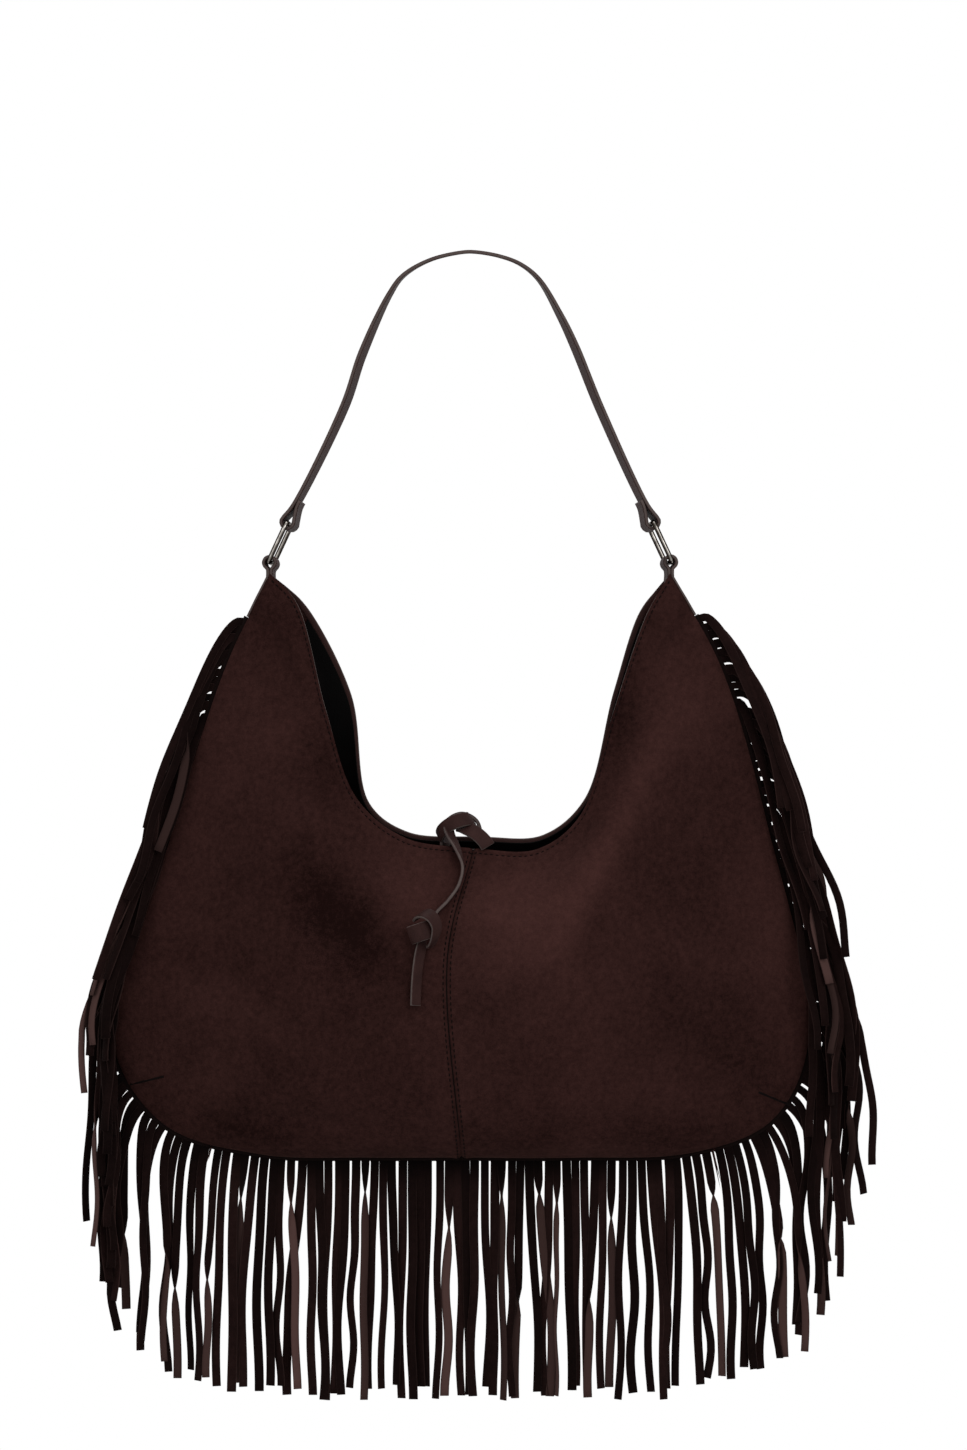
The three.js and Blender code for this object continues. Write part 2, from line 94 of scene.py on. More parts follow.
class Route:
    """A smooth line through given points, read by the share of its length."""

    def __init__(self, points: Sequence[Vector], steps: int = 48) -> None:
        """Samples the line.

        Args:
            points: places that the line passes through.
            steps: samples between one place and the next.
        """
        ends = [points[0] * 2 - points[1], *points, points[-1] * 2 - points[-2]]
        self.samples = [points[0].copy()]
        for first in range(len(points) - 1):
            span = ends[first:first + 4]
            self.samples += [self._between(span, (i + 1) / steps) for i in range(steps)]
        self.distances = [0.0]
        for before, after in zip(self.samples, self.samples[1:]):
            self.distances.append(self.distances[-1] + (after - before).length)
        self.length = self.distances[-1]

    @staticmethod
    def _between(span: Sequence[Vector], share: float) -> Vector:
        """Gives a point of one span of the line.

        Args:
            span: the place before, the two ends and the place after.
            share: how far the point is from the first end to the second.

        Returns:
            The point.
        """
        before, start, end, after = span
        steps = [max(1e-6, math.sqrt((b - a).length)) for a, b in zip(span, span[1:])]
        leave = (start - before) / steps[0] - (end - before) / (steps[0] + steps[1])
        leave = (leave + (end - start) / steps[1]) * steps[1]
        arrive = (end - start) / steps[1] - (after - start) / (steps[1] + steps[2])
        arrive = (arrive + (after - end) / steps[2]) * steps[1]
        square = share * share
        cube = square * share
        return (start * (2 * cube - 3 * square + 1) + leave * (cube - 2 * square + share)
                + end * (3 * square - 2 * cube) + arrive * (cube - square))

    def at(self, share: float) -> Vector:
        """Gives the point at a share of the line's length.

        Args:
            share: the share, held between 0 and 1.

        Returns:
            The point.
        """
        distance = min(1.0, max(0.0, share)) * self.length
        index = min(len(self.samples) - 2, max(0, bisect_right(self.distances, distance) - 1))
        span = self.distances[index + 1] - self.distances[index]
        part = (distance - self.distances[index]) / span if span > 0.0 else 0.0
        return self.samples[index].lerp(self.samples[index + 1], part)

    def tangent(self, share: float) -> Vector:
        """Gives the direction of the line at a share of its length."""
        step = 1e-4
        return (self.at(min(1.0, share + step)) - self.at(max(0.0, share - step))).normalized()


@dataclass(frozen=True)
class SideShape:
    """One side of the bag, its places given as outwards from the middle and down from the tips."""

    sign: float
    ring_yaw: float
    fringe_top_reach: float
    fringe_full_reach: float
    fringe_full_share: float
    fringe_near_share: float
    fringe_reverse_share: float
    shoulder: Place
    flank: Place
    widest: Place
    corner: Place
    base_start: Place


@dataclass(frozen=True)
class MouthShape:
    """The mouth edge of one face, in places outwards from the middle and down from the tips."""

    left: tuple[Place, ...]
    centre: Place
    right: tuple[Place, ...]


STRAP_HALF_SPACING = 108.6 * MM
STRAP_DROP = 162 * MM
RING_LEAN = 0.436
RING_REACH = 25.6 * MM
TIP_DROP = 7 * MM
BODY_HEIGHT = 349 * MM
PANEL_THICKNESS = 1.6 * MM
BINDING_LENGTH = 29 * MM
CORNER_SHARE = 0.72

BASE_MIDDLE = (62 * MM, BODY_HEIGHT)

LEFT = SideShape(
    sign=-1.0, ring_yaw=-0.08,
    fringe_top_reach=10 * MM, fringe_full_reach=25 * MM, fringe_full_share=0.7,
    fringe_near_share=0.45, fringe_reverse_share=0.55,
    shoulder=(146 * MM, 55 * MM), flank=(183 * MM, 170 * MM), widest=(214 * MM, 278 * MM),
    corner=(184 * MM, 329 * MM), base_start=(126 * MM, 347 * MM))
RIGHT = SideShape(
    sign=1.0, ring_yaw=0.11,
    fringe_top_reach=14 * MM, fringe_full_reach=42 * MM, fringe_full_share=0.5,
    fringe_near_share=0.15, fringe_reverse_share=0.45,
    shoulder=(150 * MM, 55 * MM), flank=(178 * MM, 150 * MM), widest=(203 * MM, 278 * MM),
    corner=(181 * MM, 327 * MM), base_start=(134 * MM, 346 * MM))
FRONT_MOUTH = MouthShape(
    left=((104 * MM, 17 * MM), (86 * MM, 82 * MM), (68 * MM, 134 * MM), (39 * MM, 158 * MM)),
    centre=(2 * MM, 165 * MM),
    right=((106 * MM, 24 * MM), (86 * MM, 82 * MM), (66 * MM, 145 * MM), (40 * MM, 165 * MM)))
BACK_MOUTH = MouthShape(
    left=((102 * MM, 16 * MM), (73 * MM, 72 * MM), (62 * MM, 138 * MM), (38 * MM, 156 * MM)),
    centre=(6 * MM, 159 * MM),
    right=((104 * MM, 21 * MM), (88 * MM, 70 * MM), (70 * MM, 136 * MM), (44 * MM, 158 * MM)))


def strap_pivot(side: SideShape) -> Vector:
    """Gives the middle of a ring's bar in the strap."""
    return flat_point(side.sign * STRAP_HALF_SPACING, -STRAP_DROP)


def ring_axis(side: SideShape) -> Vector:
    """Gives the direction of a ring's length, upwards."""
    return flat_point(-side.sign * math.sin(RING_LEAN), math.cos(RING_LEAN))


def tab_pivot(side: SideShape) -> Vector:
    """Gives the middle of a ring's bar in its tab."""
    return strap_pivot(side) - ring_axis(side) * RING_REACH


def tip_point(side: SideShape) -> Vector:
    """Gives the tip of the panels under a tab."""
    return tab_pivot(side) - UP * TIP_DROP


def bar_direction(side: SideShape, angle: float) -> Vector:
    """Gives the front-to-back direction, turned about a ring's length."""
    return Matrix.Rotation(angle, 3, ring_axis(side)) @ DEPTHWAYS


def side_point(side: SideShape, place: Place) -> Vector:
    """Gives the point of a place outwards from the middle and down from the tips."""
    return flat_point(side.sign * place[0], tip_point(side).z - place[1])


class HalfPanel:
    """One suede half of a face: a patch between the outer seam, mouth, centre seam and base."""

    edge_depth: float = 1.8 * MM
    tip_depth: float = 7.1 * MM
    tip_held: float = 15 * MM
    belly_depth: float = 44 * MM
    belly_share: float = 0.5
    mouth_depth: float = 9 * MM
    mouth_gape: float = 12 * MM
    gape_fade: int = 3
    seam_bow: float = -13 * MM
    seam_foot: float = -5 * MM
    swell_held: float = 0.075
    swell_fade: float = 0.25
    parting: int = 8
    halvings: int = 24

    def __init__(self, side: SideShape, mouth: MouthShape, face: Face) -> None:
        """Lays out the half's edges.

        Args:
            side: the side of the bag.
            mouth: the mouth edge of the face.
            face: front or back.
        """
        self.side = side
        self.face = face
        tip = tip_point(side)
        foot = flat_point(self.seam_foot, tip.z - BODY_HEIGHT)
        top = side_point(RIGHT, mouth.centre)
        outline = (side.shoulder, side.flank, side.widest, side.corner, side.base_start, BASE_MIDDLE)
        mouth_places = mouth.left if side is LEFT else mouth.right
        self.seam = Route([tip, *(side_point(side, place) for place in outline), foot])
        self.mouth = Route([tip, *(side_point(side, place) for place in mouth_places), top])
        self.centre = Route([top, flat_point(self.seam_bow, (2 * top.z + foot.z) / 3), foot])

    def tip_swell(self, distance: float) -> float:
        """Gives how far the panels stand off their seam, at a length along it from the tip."""
        fade = smooth((distance - self.tip_held) / (BINDING_LENGTH - self.tip_held))
        return (self.tip_depth - self.edge_depth) * (1.0 - fade)

    def depth(self, u: float, v: float) -> float:
        """Gives the distance of the suede's middle from the plane of the seam.

        Args:
            u: share of the way from the outer seam to the centre seam.
            v: share of the way from the mouth to the base.

        Returns:
            The depth.
        """
        climb = math.sin(min(1.0, v / self.belly_share) * math.pi / 2)
        rise = lerp(self.mouth_depth / self.belly_depth, 1.0, climb)
        below = max(0.0, (v - self.belly_share) / (1.0 - self.belly_share))
        fall = math.sqrt(max(0.0, 1.0 - below * below))
        belly = self.belly_depth * (1.0 - (1.0 - u) ** 2) * rise * fall
        gape = self.mouth_gape * math.sin(math.pi * u) * (1.0 - v) ** self.gape_fade
        fade = smooth((u - self.swell_held) / self.swell_fade)
        swell = self.tip_swell(v * CORNER_SHARE * self.seam.length) * (1.0 - fade)
        return self.edge_depth + belly + gape + swell

    def at(self, u: float, v: float, inset: float = 0.0) -> Vector:
        """Gives a point of the suede's middle layer, or of a layer inside it.

        Args:
            u: share of the way from the outer seam to the centre seam.
            v: share of the way from the mouth to the base.
            inset: distance inwards from the middle of the suede.

        Returns:
            The point.
        """
        outer = self.seam.at(v * CORNER_SHARE)
        base = self.seam.at(CORNER_SHARE + u * (1.0 - CORNER_SHARE))
        point = self.mouth.at(u) * (1 - v) + base * v + outer * (1 - u) + self.centre.at(v) * u
        point -= self.seam.at(0.0) * (1 - u) * (1 - v) + self.centre.at(0.0) * u * (1 - v)
        point -= self.seam.at(CORNER_SHARE) * (1 - u) * v + self.centre.at(1.0) * u * v
        point.x += self.side.sign * u ** self.parting * GAP / 2
        point.y = self.face.value * (self.depth(u, v) - inset)
        return point

    def seam_normal(self, share: float) -> Vector:
        """Gives the direction straight out of the outer seam at a share of its length."""
        return DEPTHWAYS.cross(self.seam.tangent(share)) * -self.side.sign

    def seam_at_height(self, z: float) -> Vector:
        """Gives the point of the side seam at a height.

        Args:
            z: the height.

        Returns:
            The point.
        """
        low, high = 0.0, CORNER_SHARE
        for _ in range(self.halvings):
            share = (low + high) / 2
            if self.seam.at(share).z > z:
                low = share
            else:
                high = share
        return self.seam.at(low)


FRONT_LEFT = HalfPanel(LEFT, FRONT_MOUTH, Face.FRONT)
FRONT_RIGHT = HalfPanel(RIGHT, FRONT_MOUTH, Face.FRONT)
BACK_LEFT = HalfPanel(LEFT, BACK_MOUTH, Face.BACK)
BACK_RIGHT = HalfPanel(RIGHT, BACK_MOUTH, Face.BACK)


class Wiring:
    """Adds and joins the nodes of one node tree."""

    def __init__(self, tree: bpy.types.NodeTree) -> None:
        """Keeps the tree and clears it."""
        self.tree = tree
        self.tree.nodes.clear()

    def add(self, kind: str, values: dict | None = None, **settings: object) -> bpy.types.Node:
        """Adds a node.

        Args:
            kind: the node's type name.
            values: what each input takes, a plain value or another node's output.
            settings: the node's own properties.

        Returns:
            The node.
        """
        node = self.tree.nodes.new(kind)
        for name, value in settings.items():
            setattr(node, name, value)
        for socket, value in (values or {}).items():
            if isinstance(value, bpy.types.NodeSocket):
                self.tree.links.new(value, node.inputs[socket])
            else:
                node.inputs[socket].default_value = value
        return node

    def math(self, operation: str, *values: object) -> bpy.types.NodeSocket:
        """Joins values with a sum, product or other operation."""
        return self.add("ShaderNodeMath", dict(enumerate(values)), operation=operation).outputs[0]

    def weigh(self, value: bpy.types.NodeSocket, weight: object) -> bpy.types.NodeSocket:
        """Gives a 0 to 1 value, centred on nothing and weighted."""
        return self.math("MULTIPLY", self.math("SUBTRACT", value, 0.5), weight)

    def mix(self, share: object, first: object, second: object,
            blend: str = "MIX") -> bpy.types.NodeSocket:
        """Mixes a share of the second colour into the first."""
        values = {0: share, 6: first, 7: second}
        return self.add("ShaderNodeMix", values, data_type="RGBA", blend_type=blend).outputs[2]

    def noise(self, vector: object, scale: float, detail: float = 2.0,
              **values: float) -> bpy.types.NodeSocket:
        """Adds a noise pattern.

        Args:
            vector: the coordinates that it follows.
            scale: its fineness.
            detail: its number of finer layers.
            values: other inputs, by their names in small letters.

        Returns:
            The pattern's value.
        """
        inputs = {"Vector": vector, "Scale": scale, "Detail": detail}
        inputs.update({name.capitalize(): value for name, value in values.items()})
        return self.add("ShaderNodeTexNoise", inputs).outputs[0]

    def stretch(self, value: bpy.types.NodeSocket, low: float, high: float) -> bpy.types.NodeSocket:
        """Stretches a value so that low becomes 0 and high becomes 1."""
        values = {"Value": value, "From Min": low, "From Max": high}
        return self.add("ShaderNodeMapRange", values).outputs[0]

    def clamp(self, value: bpy.types.NodeSocket) -> bpy.types.NodeSocket:
        """Holds a value between 0 and 1."""
        return self.add("ShaderNodeClamp", {0: value}).outputs[0]

    def attribute(self, name: str) -> bpy.types.NodeSocket:
        """Reads a value that is kept on the mesh."""
        return self.add("ShaderNodeAttribute", attribute_name=name).outputs["Fac"]


class EffectGroup:
    """A shader node group for an effect that several finishes share."""

    def __init__(self, name: str, inputs: dict[str, str], outputs: dict[str, str]) -> None:
        """Makes the group and its sockets.

        Args:
            name: the group's name.
            inputs: the type of each named input.
            outputs: the type of each named output.
        """
        self.tree = bpy.data.node_groups.new(name, "ShaderNodeTree")
        self.wiring = Wiring(self.tree)
        for in_out, sockets in (("INPUT", inputs), ("OUTPUT", outputs)):
            for socket, kind in sockets.items():
                self.tree.interface.new_socket(socket, in_out=in_out, socket_type=kind)
        self.given = self.wiring.add("NodeGroupInput").outputs
        self.place = self.wiring.add("ShaderNodeTexCoord").outputs["Object"]

    def close(self, **results: bpy.types.NodeSocket) -> bpy.types.ShaderNodeTree:
        """Joins the results to the group's outputs and gives the group."""
        self.wiring.add("NodeGroupOutput", dict(results))
        return self.tree


EDGE_VALUE = "edge"
# Tone kept on the mesh: real tone, with painted highlights and shade on the front panels and painted
# shade on the fringe.
TONE_AND_PAINTED_LIGHT_VALUE = "tone"
REVERSE_VALUE = "reverse"
COLOUR_SOCKET = "NodeSocketColor"
VALUE_SOCKET = "NodeSocketFloat"
TWO_COLOURS = {"Dark": COLOUR_SOCKET, "Pale": COLOUR_SOCKET}
SURFACE_OUTPUTS = {"Colour": COLOUR_SOCKET, "Roughness": VALUE_SOCKET, "Height": VALUE_SOCKET}


def nap_group() -> bpy.types.ShaderNodeTree:
    """Makes the nap of suede: clouded shading, brush marks and fine fibres, with highlights and shade
    painted in through its lie input.

    Returns:
        The node group.
    """
    inputs = {**TWO_COLOURS, "Cloud": VALUE_SOCKET, "Brush": VALUE_SOCKET, "Lie": VALUE_SOCKET}
    group = EffectGroup("suede_nap", inputs, SURFACE_OUTPUTS)
    wiring = group.wiring
    cloud = wiring.noise(group.place, scale=9.0, detail=5.0, roughness=0.6, distortion=0.5)
    stretched = wiring.add("ShaderNodeMapping", {"Vector": group.place, "Scale": (55.0, 55.0, 30.0)})
    brush = wiring.noise(stretched.outputs[0], scale=1.0, detail=4.0, roughness=0.65, distortion=1.4)
    fibre = wiring.noise(group.place, scale=1500.0, detail=3.0, roughness=0.7)
    fleck = wiring.noise(group.place, scale=330.0, detail=3.0, roughness=0.6)
    clouded = wiring.weigh(cloud, group.given["Cloud"])
    brushed = wiring.weigh(brush, group.given["Brush"])
    fine = wiring.math("ADD", wiring.weigh(fibre, 0.75), wiring.weigh(fleck, 0.7))
    broad = wiring.math("ADD", clouded, brushed)
    # The lie input brings the nap's lie and, on the front, painted highlights and painted shade.
    mask = wiring.math("ADD", wiring.math("ADD", broad, fine), group.given["Lie"])
    mask = wiring.clamp(mask)
    colour = wiring.mix(mask, group.given["Dark"], group.given["Pale"])
    height = wiring.math("ADD", wiring.weigh(fibre, 0.6), wiring.weigh(fleck, 0.9))
    roughness = wiring.math("ADD", wiring.math("MULTIPLY", mask, 0.08), 0.88)
    return group.close(Colour=colour, Roughness=roughness, Height=height)


def grain_group() -> bpy.types.ShaderNodeTree:
    """Makes the fine pebbled grain of dyed leather, with soft uneven colour.

    Returns:
        The node group.
    """
    group = EffectGroup("leather_grain", TWO_COLOURS, SURFACE_OUTPUTS)
    wiring = group.wiring
    pebble = wiring.add("ShaderNodeTexVoronoi", {"Vector": group.place, "Scale": 1300.0},
                        feature="SMOOTH_F1").outputs["Distance"]
    cloud = wiring.noise(group.place, scale=55.0, detail=4.0, roughness=0.6)
    pore = wiring.noise(group.place, scale=1900.0, detail=2.0)
    mask = wiring.math("ADD", wiring.weigh(cloud, 1.5), wiring.weigh(pore, 0.5))
    mask = wiring.clamp(wiring.math("ADD", mask, 0.5))
    colour = wiring.mix(mask, group.given["Dark"], group.given["Pale"])
    height = wiring.math("ADD", wiring.math("MULTIPLY", pebble, -0.7), wiring.weigh(pore, 0.3))
    roughness = wiring.math("ADD", wiring.math("MULTIPLY", mask, 0.14), 0.5)
    return group.close(Colour=colour, Roughness=roughness, Height=height)


def cut_edge_group() -> bpy.types.ShaderNodeTree:
    """Makes the worn cut edge of a leather band, where the mesh's edge value is high.

    Returns:
        The node group.
    """
    group = EffectGroup("cut_edge", {"Face": COLOUR_SOCKET, "Edge": COLOUR_SOCKET},
                        {"Colour": COLOUR_SOCKET, "Mask": VALUE_SOCKET})
    wiring = group.wiring
    uneven_edge = wiring.noise(group.place, scale=420.0, detail=4.0, roughness=0.65)
    reach = wiring.math("ADD", wiring.attribute(EDGE_VALUE), wiring.weigh(uneven_edge, 0.55))
    mask = wiring.stretch(reach, 0.5, 0.85)
    shade = wiring.noise(group.place, scale=160.0, detail=3.0)
    edge = wiring.mix(wiring.math("MULTIPLY", shade, 0.5), group.given["Edge"], group.given["Face"])
    return group.close(Colour=wiring.mix(mask, group.given["Face"], edge), Mask=mask)


def strand_group() -> bpy.types.ShaderNodeTree:
    """Makes the fringe's colours: each strand's own tone with its painted shade, and its paler reverse.

    Returns:
        The node group.
    """
    group = EffectGroup("strand_tones", {"Face": COLOUR_SOCKET, "Reverse": COLOUR_SOCKET},
                        {"Colour": COLOUR_SOCKET})
    wiring = group.wiring
    turned = wiring.mix(wiring.attribute(REVERSE_VALUE), group.given["Face"], group.given["Reverse"])
    # The tone brings each strand's own tone and the painted shade at the roots, on the heading and on
    # hidden strands.
    tone = wiring.math("ADD", wiring.math("MULTIPLY", wiring.attribute(TONE_AND_PAINTED_LIGHT_VALUE), 0.9), 0.55)
    grey = wiring.add("ShaderNodeCombineColor", {0: tone, 1: tone, 2: tone}).outputs[0]
    return group.close(Colour=wiring.mix(1.0, turned, grey, "MULTIPLY"))


def weave_group() -> bpy.types.ShaderNodeTree:
    """Makes the plain weave of the lining.

    Returns:
        The node group.
    """
    group = EffectGroup("plain_weave", TWO_COLOURS, SURFACE_OUTPUTS)
    wiring = group.wiring
    ribs = {"Vector": group.place, "Scale": 420.0, "Distortion": 0.4}
    threads = [wiring.add("ShaderNodeTexWave", ribs, bands_direction=direction).outputs["Fac"]
               for direction in ("X", "Z")]
    weave = wiring.math("MULTIPLY", *threads)
    cloud = wiring.noise(group.place, scale=40.0, detail=3.0)
    mask = wiring.math("ADD", wiring.math("MULTIPLY", weave, 0.7), wiring.weigh(cloud, 0.5))
    mask = wiring.clamp(mask)
    colour = wiring.mix(mask, group.given["Dark"], group.given["Pale"])
    roughness = wiring.math("ADD", wiring.math("MULTIPLY", mask, 0.1), 0.8)
    return group.close(Colour=colour, Roughness=roughness, Height=weave)


class Effects:
    """The node groups, each built once."""

    def __init__(self) -> None:
        """Builds every group."""
        self.nap = nap_group()
        self.grain = grain_group()
        self.cut_edge = cut_edge_group()
        self.strand = strand_group()
        self.weave = weave_group()


class MaterialDraft:
    """A new material with its Principled shader."""

    def __init__(self, name: str, **plain: object) -> None:
        """Makes the material.

        Args:
            name: the material's name.
            plain: shader values that are the same all over, with _ for spaces.
        """
        self.material = bpy.data.materials.new(name)
        self.material.use_nodes = True
        self.wiring = Wiring(self.material.node_tree)
        values = {self.socket(key): value for key, value in plain.items()}
        self.shader = self.wiring.add("ShaderNodeBsdfPrincipled", values)
        self.wiring.add("ShaderNodeOutputMaterial", {"Surface": self.shader.outputs[0]})

    @staticmethod
    def socket(key: str) -> str:
        """Gives the shader's name of an input that is written with _ for spaces."""
        return key.replace("_", " ").title().replace("Ior", "IOR")

    def effect(self, tree: bpy.types.ShaderNodeTree, **values: object) -> bpy.types.Node:
        """Places a shared effect in the material, with values or other nodes' outputs as inputs."""
        return self.wiring.add("ShaderNodeGroup", values, node_tree=tree)

    def wire(self, **sources: bpy.types.NodeSocket) -> None:
        """Joins varying values to the shader's inputs, with _ for spaces."""
        for name, source in sources.items():
            self.wiring.tree.links.new(source, self.shader.inputs[self.socket(name)])

    def emboss(self, height: bpy.types.NodeSocket, depth: float, strength: float) -> None:
        """Raises the surface by a pattern whose height of 1 stands for the depth in metres."""
        values = {"Strength": strength, "Distance": depth, "Height": height}
        self.wire(normal=self.wiring.add("ShaderNodeBump", values).outputs[0])


@dataclass(frozen=True)
class SuedeFinish:
    """Napped suede of the panels."""

    name: str
    dark: Colour
    pale: Colour
    cloud: float
    brush: float
    sheen: float
    sheen_tint: Colour
    gloss: float = 0.04
    sheen_roughness: float = 0.45
    nap_depth: float = 0.4 * MM
    nap_strength: float = 0.5

    def draft(self, effects: Effects) -> tuple[MaterialDraft, bpy.types.Node]:
        """Makes the material with its nap.

        Args:
            effects: the shared node groups.

        Returns:
            The material's draft and its nap node.
        """
        draft = MaterialDraft(self.name, sheen_weight=self.sheen, sheen_roughness=self.sheen_roughness,
                              sheen_tint=self.sheen_tint, specular_ior_level=self.gloss)
        nap = draft.effect(effects.nap, Dark=self.dark, Pale=self.pale, Cloud=self.cloud,
                           Brush=self.brush, Lie=0.5)
        draft.wire(base_color=nap.outputs["Colour"], roughness=nap.outputs["Roughness"])
        draft.emboss(nap.outputs["Height"], self.nap_depth, self.nap_strength)
        return draft, nap

    def material(self, effects: Effects) -> bpy.types.Material:
        """Makes the material, whose nap lies as the mesh says, with the front's painted highlights and
        shade.

        Args:
            effects: the shared node groups.

        Returns:
            The material.
        """
        draft, nap = self.draft(effects)
        # The mesh's tone brings the painted highlights and painted shade into the nap.
        draft.wiring.tree.links.new(draft.wiring.attribute(TONE_AND_PAINTED_LIGHT_VALUE), nap.inputs["Lie"])
        return draft.material


@dataclass(frozen=True)
class StrandFinish(SuedeFinish):
    """Suede of the fringe, whose reverse is paler."""

    reverse: Colour = (0.1, 0.05, 0.04, 1.0)

    def material(self, effects: Effects) -> bpy.types.Material:
        """Makes the material with the strands' own tones.

        Args:
            effects: the shared node groups.

        Returns:
            The material.
        """
        draft, nap = self.draft(effects)
        tones = draft.effect(effects.strand, Face=nap.outputs["Colour"], Reverse=self.reverse)
        draft.wire(base_color=tones.outputs["Colour"])
        return draft.material


@dataclass(frozen=True)
class LeatherFinish:
    """Dyed leather with a fine grain and, on bands, a worn cut edge."""

    name: str
    dark: Colour
    pale: Colour
    edge: Colour
    gloss: float
    grain_depth: float = 0.25 * MM
    grain_strength: float = 0.5

    def material(self, effects: Effects) -> bpy.types.Material:
        """Makes the material.

        Args:
            effects: the shared node groups.

        Returns:
            The material.
        """
        draft = MaterialDraft(self.name, specular_ior_level=self.gloss)
        grain = draft.effect(effects.grain, Dark=self.dark, Pale=self.pale)
        edge = draft.effect(effects.cut_edge, Face=grain.outputs["Colour"], Edge=self.edge)
        draft.wire(base_color=edge.outputs["Colour"], roughness=grain.outputs["Roughness"])
        draft.emboss(grain.outputs["Height"], self.grain_depth, self.grain_strength)
        return draft.material


@dataclass(frozen=True)
class ClothFinish:
    """Woven lining cloth or sewing thread."""

    name: str
    dark: Colour
    pale: Colour
    gloss: float = 0.06
    weave_depth: float = 0.2 * MM
    weave_strength: float = 0.4

    def material(self, effects: Effects) -> bpy.types.Material:
        """Makes the material.

        Args:
            effects: the shared node groups.

        Returns:
            The material.
        """
        draft = MaterialDraft(self.name, specular_ior_level=self.gloss)
        weave = draft.effect(effects.weave, Dark=self.dark, Pale=self.pale)
        draft.wire(base_color=weave.outputs["Colour"], roughness=weave.outputs["Roughness"])
        draft.emboss(weave.outputs["Height"], self.weave_depth, self.weave_strength)
        return draft.material


@dataclass(frozen=True)
class MetalFinish:
    """Polished metal wire with fine scratches, with a painted glint where its edge value is high and
    painted shade on the flanks of the bars.
    """

    name: str
    painted_glint: Colour
    painted_flank_shade: Colour
    tint: Colour = (0.3, 0.27, 0.25, 1.0)
    scratch_depth: float = 0.03 * MM
    scratch_strength: float = 0.25

    def material(self, effects: Effects) -> bpy.types.Material:
        """Makes the material.

        Args:
            effects: the shared node groups, of which the metal needs none.

        Returns:
            The material.
        """
        draft = MaterialDraft(self.name, metallic=1.0, specular_tint=self.tint)
        wiring = draft.wiring
        place = wiring.add("ShaderNodeTexCoord").outputs["Object"]
        cloud = wiring.noise(place, scale=140.0, detail=3.0)
        scratch = wiring.noise(place, scale=900.0, detail=5.0, roughness=0.7)
        # Painted reflection: the glint colour where the edge value is high, painted shade on the
        # flanks; a cloud makes the border uneven.
        uneven_edge = wiring.math("ADD", wiring.attribute(EDGE_VALUE), wiring.weigh(cloud, 0.3))
        painted_glint_mask = wiring.stretch(uneven_edge, 0.9, 1.06)
        draft.wire(base_color=wiring.mix(painted_glint_mask, self.painted_flank_shade, self.painted_glint))
        draft.wire(roughness=wiring.math("ADD", wiring.math("MULTIPLY", scratch, 0.16), 0.06))
        draft.emboss(scratch, self.scratch_depth, self.scratch_strength)
        return draft.material


def rgb(red: float, green: float, blue: float) -> Colour:
    """Gives a colour in linear light with full cover."""
    return (red, green, blue, 1.0)


@dataclass
class Finishes:
    """The bag's materials, one for each slot of the record and one for the thread."""

    effects: Effects = field(default_factory=Effects)

    def __post_init__(self) -> None:
        """Makes the materials."""
        finishes = {
            "suede": SuedeFinish(
                "suede_dark_brown", dark=rgb(0.0075, 0.0022, 0.0018), pale=rgb(0.053, 0.021, 0.0183),
                cloud=0.85, brush=0.3, sheen=0.08, sheen_tint=rgb(0.3, 0.16, 0.13)),
            "fringe_suede": StrandFinish(
                "fringe_cut_suede", dark=rgb(0.0025, 0.0009, 0.0008), pale=rgb(0.0135, 0.006, 0.0054),
                cloud=0.9, brush=0.9, sheen=0.04, sheen_tint=rgb(0.3, 0.18, 0.15),
                reverse=rgb(0.052, 0.028, 0.025)),
            "trim_leather": LeatherFinish(
                "trim_brown_leather", dark=rgb(0.012, 0.0046, 0.004), pale=rgb(0.042, 0.0185, 0.0165),
                edge=rgb(0.1, 0.078, 0.072), gloss=0.06),
            "facing_leather": LeatherFinish(
                "facing_smooth_leather", dark=rgb(0.0006, 0.0005, 0.0005),
                pale=rgb(0.0018, 0.0014, 0.0013), edge=rgb(0.03, 0.025, 0.024), gloss=0.03),
            "lining_cloth": ClothFinish(
                "lining_black_weave", dark=rgb(0.0015, 0.0014, 0.0014),
                pale=rgb(0.005, 0.0045, 0.0045)),
            "thread": ClothFinish(
                "thread_brown", dark=rgb(0.002, 0.0009, 0.0008), pale=rgb(0.006, 0.003, 0.0026)),
            # The rings' nickel, with its painted glint and painted shade on the flanks.
            "ring_metal": MetalFinish(
                "ring_nickel_painted_glint", painted_glint=rgb(0.45, 0.425, 0.39), painted_flank_shade=rgb(0.03, 0.024, 0.02)),
        }
        self.materials = {slot: finish.material(self.effects) for slot, finish in finishes.items()}


def new_mesh() -> bmesh.types.BMesh:
    """Starts an empty mesh with the values that the finishes read.

    Returns:
        The mesh.
    """
    mesh = bmesh.new()
    for name in (EDGE_VALUE, TONE_AND_PAINTED_LIGHT_VALUE, REVERSE_VALUE):
        mesh.verts.layers.float.new(name)
    return mesh


def gathered(count: int, gathering: float) -> list[float]:
    """Gives shares from 0 to 1, the closer together near both ends the nearer gathering is to 1."""
    shares = [i / count for i in range(count + 1)]
    return [t - gathering * math.sin(2 * math.pi * t) / (2 * math.pi) for t in shares]


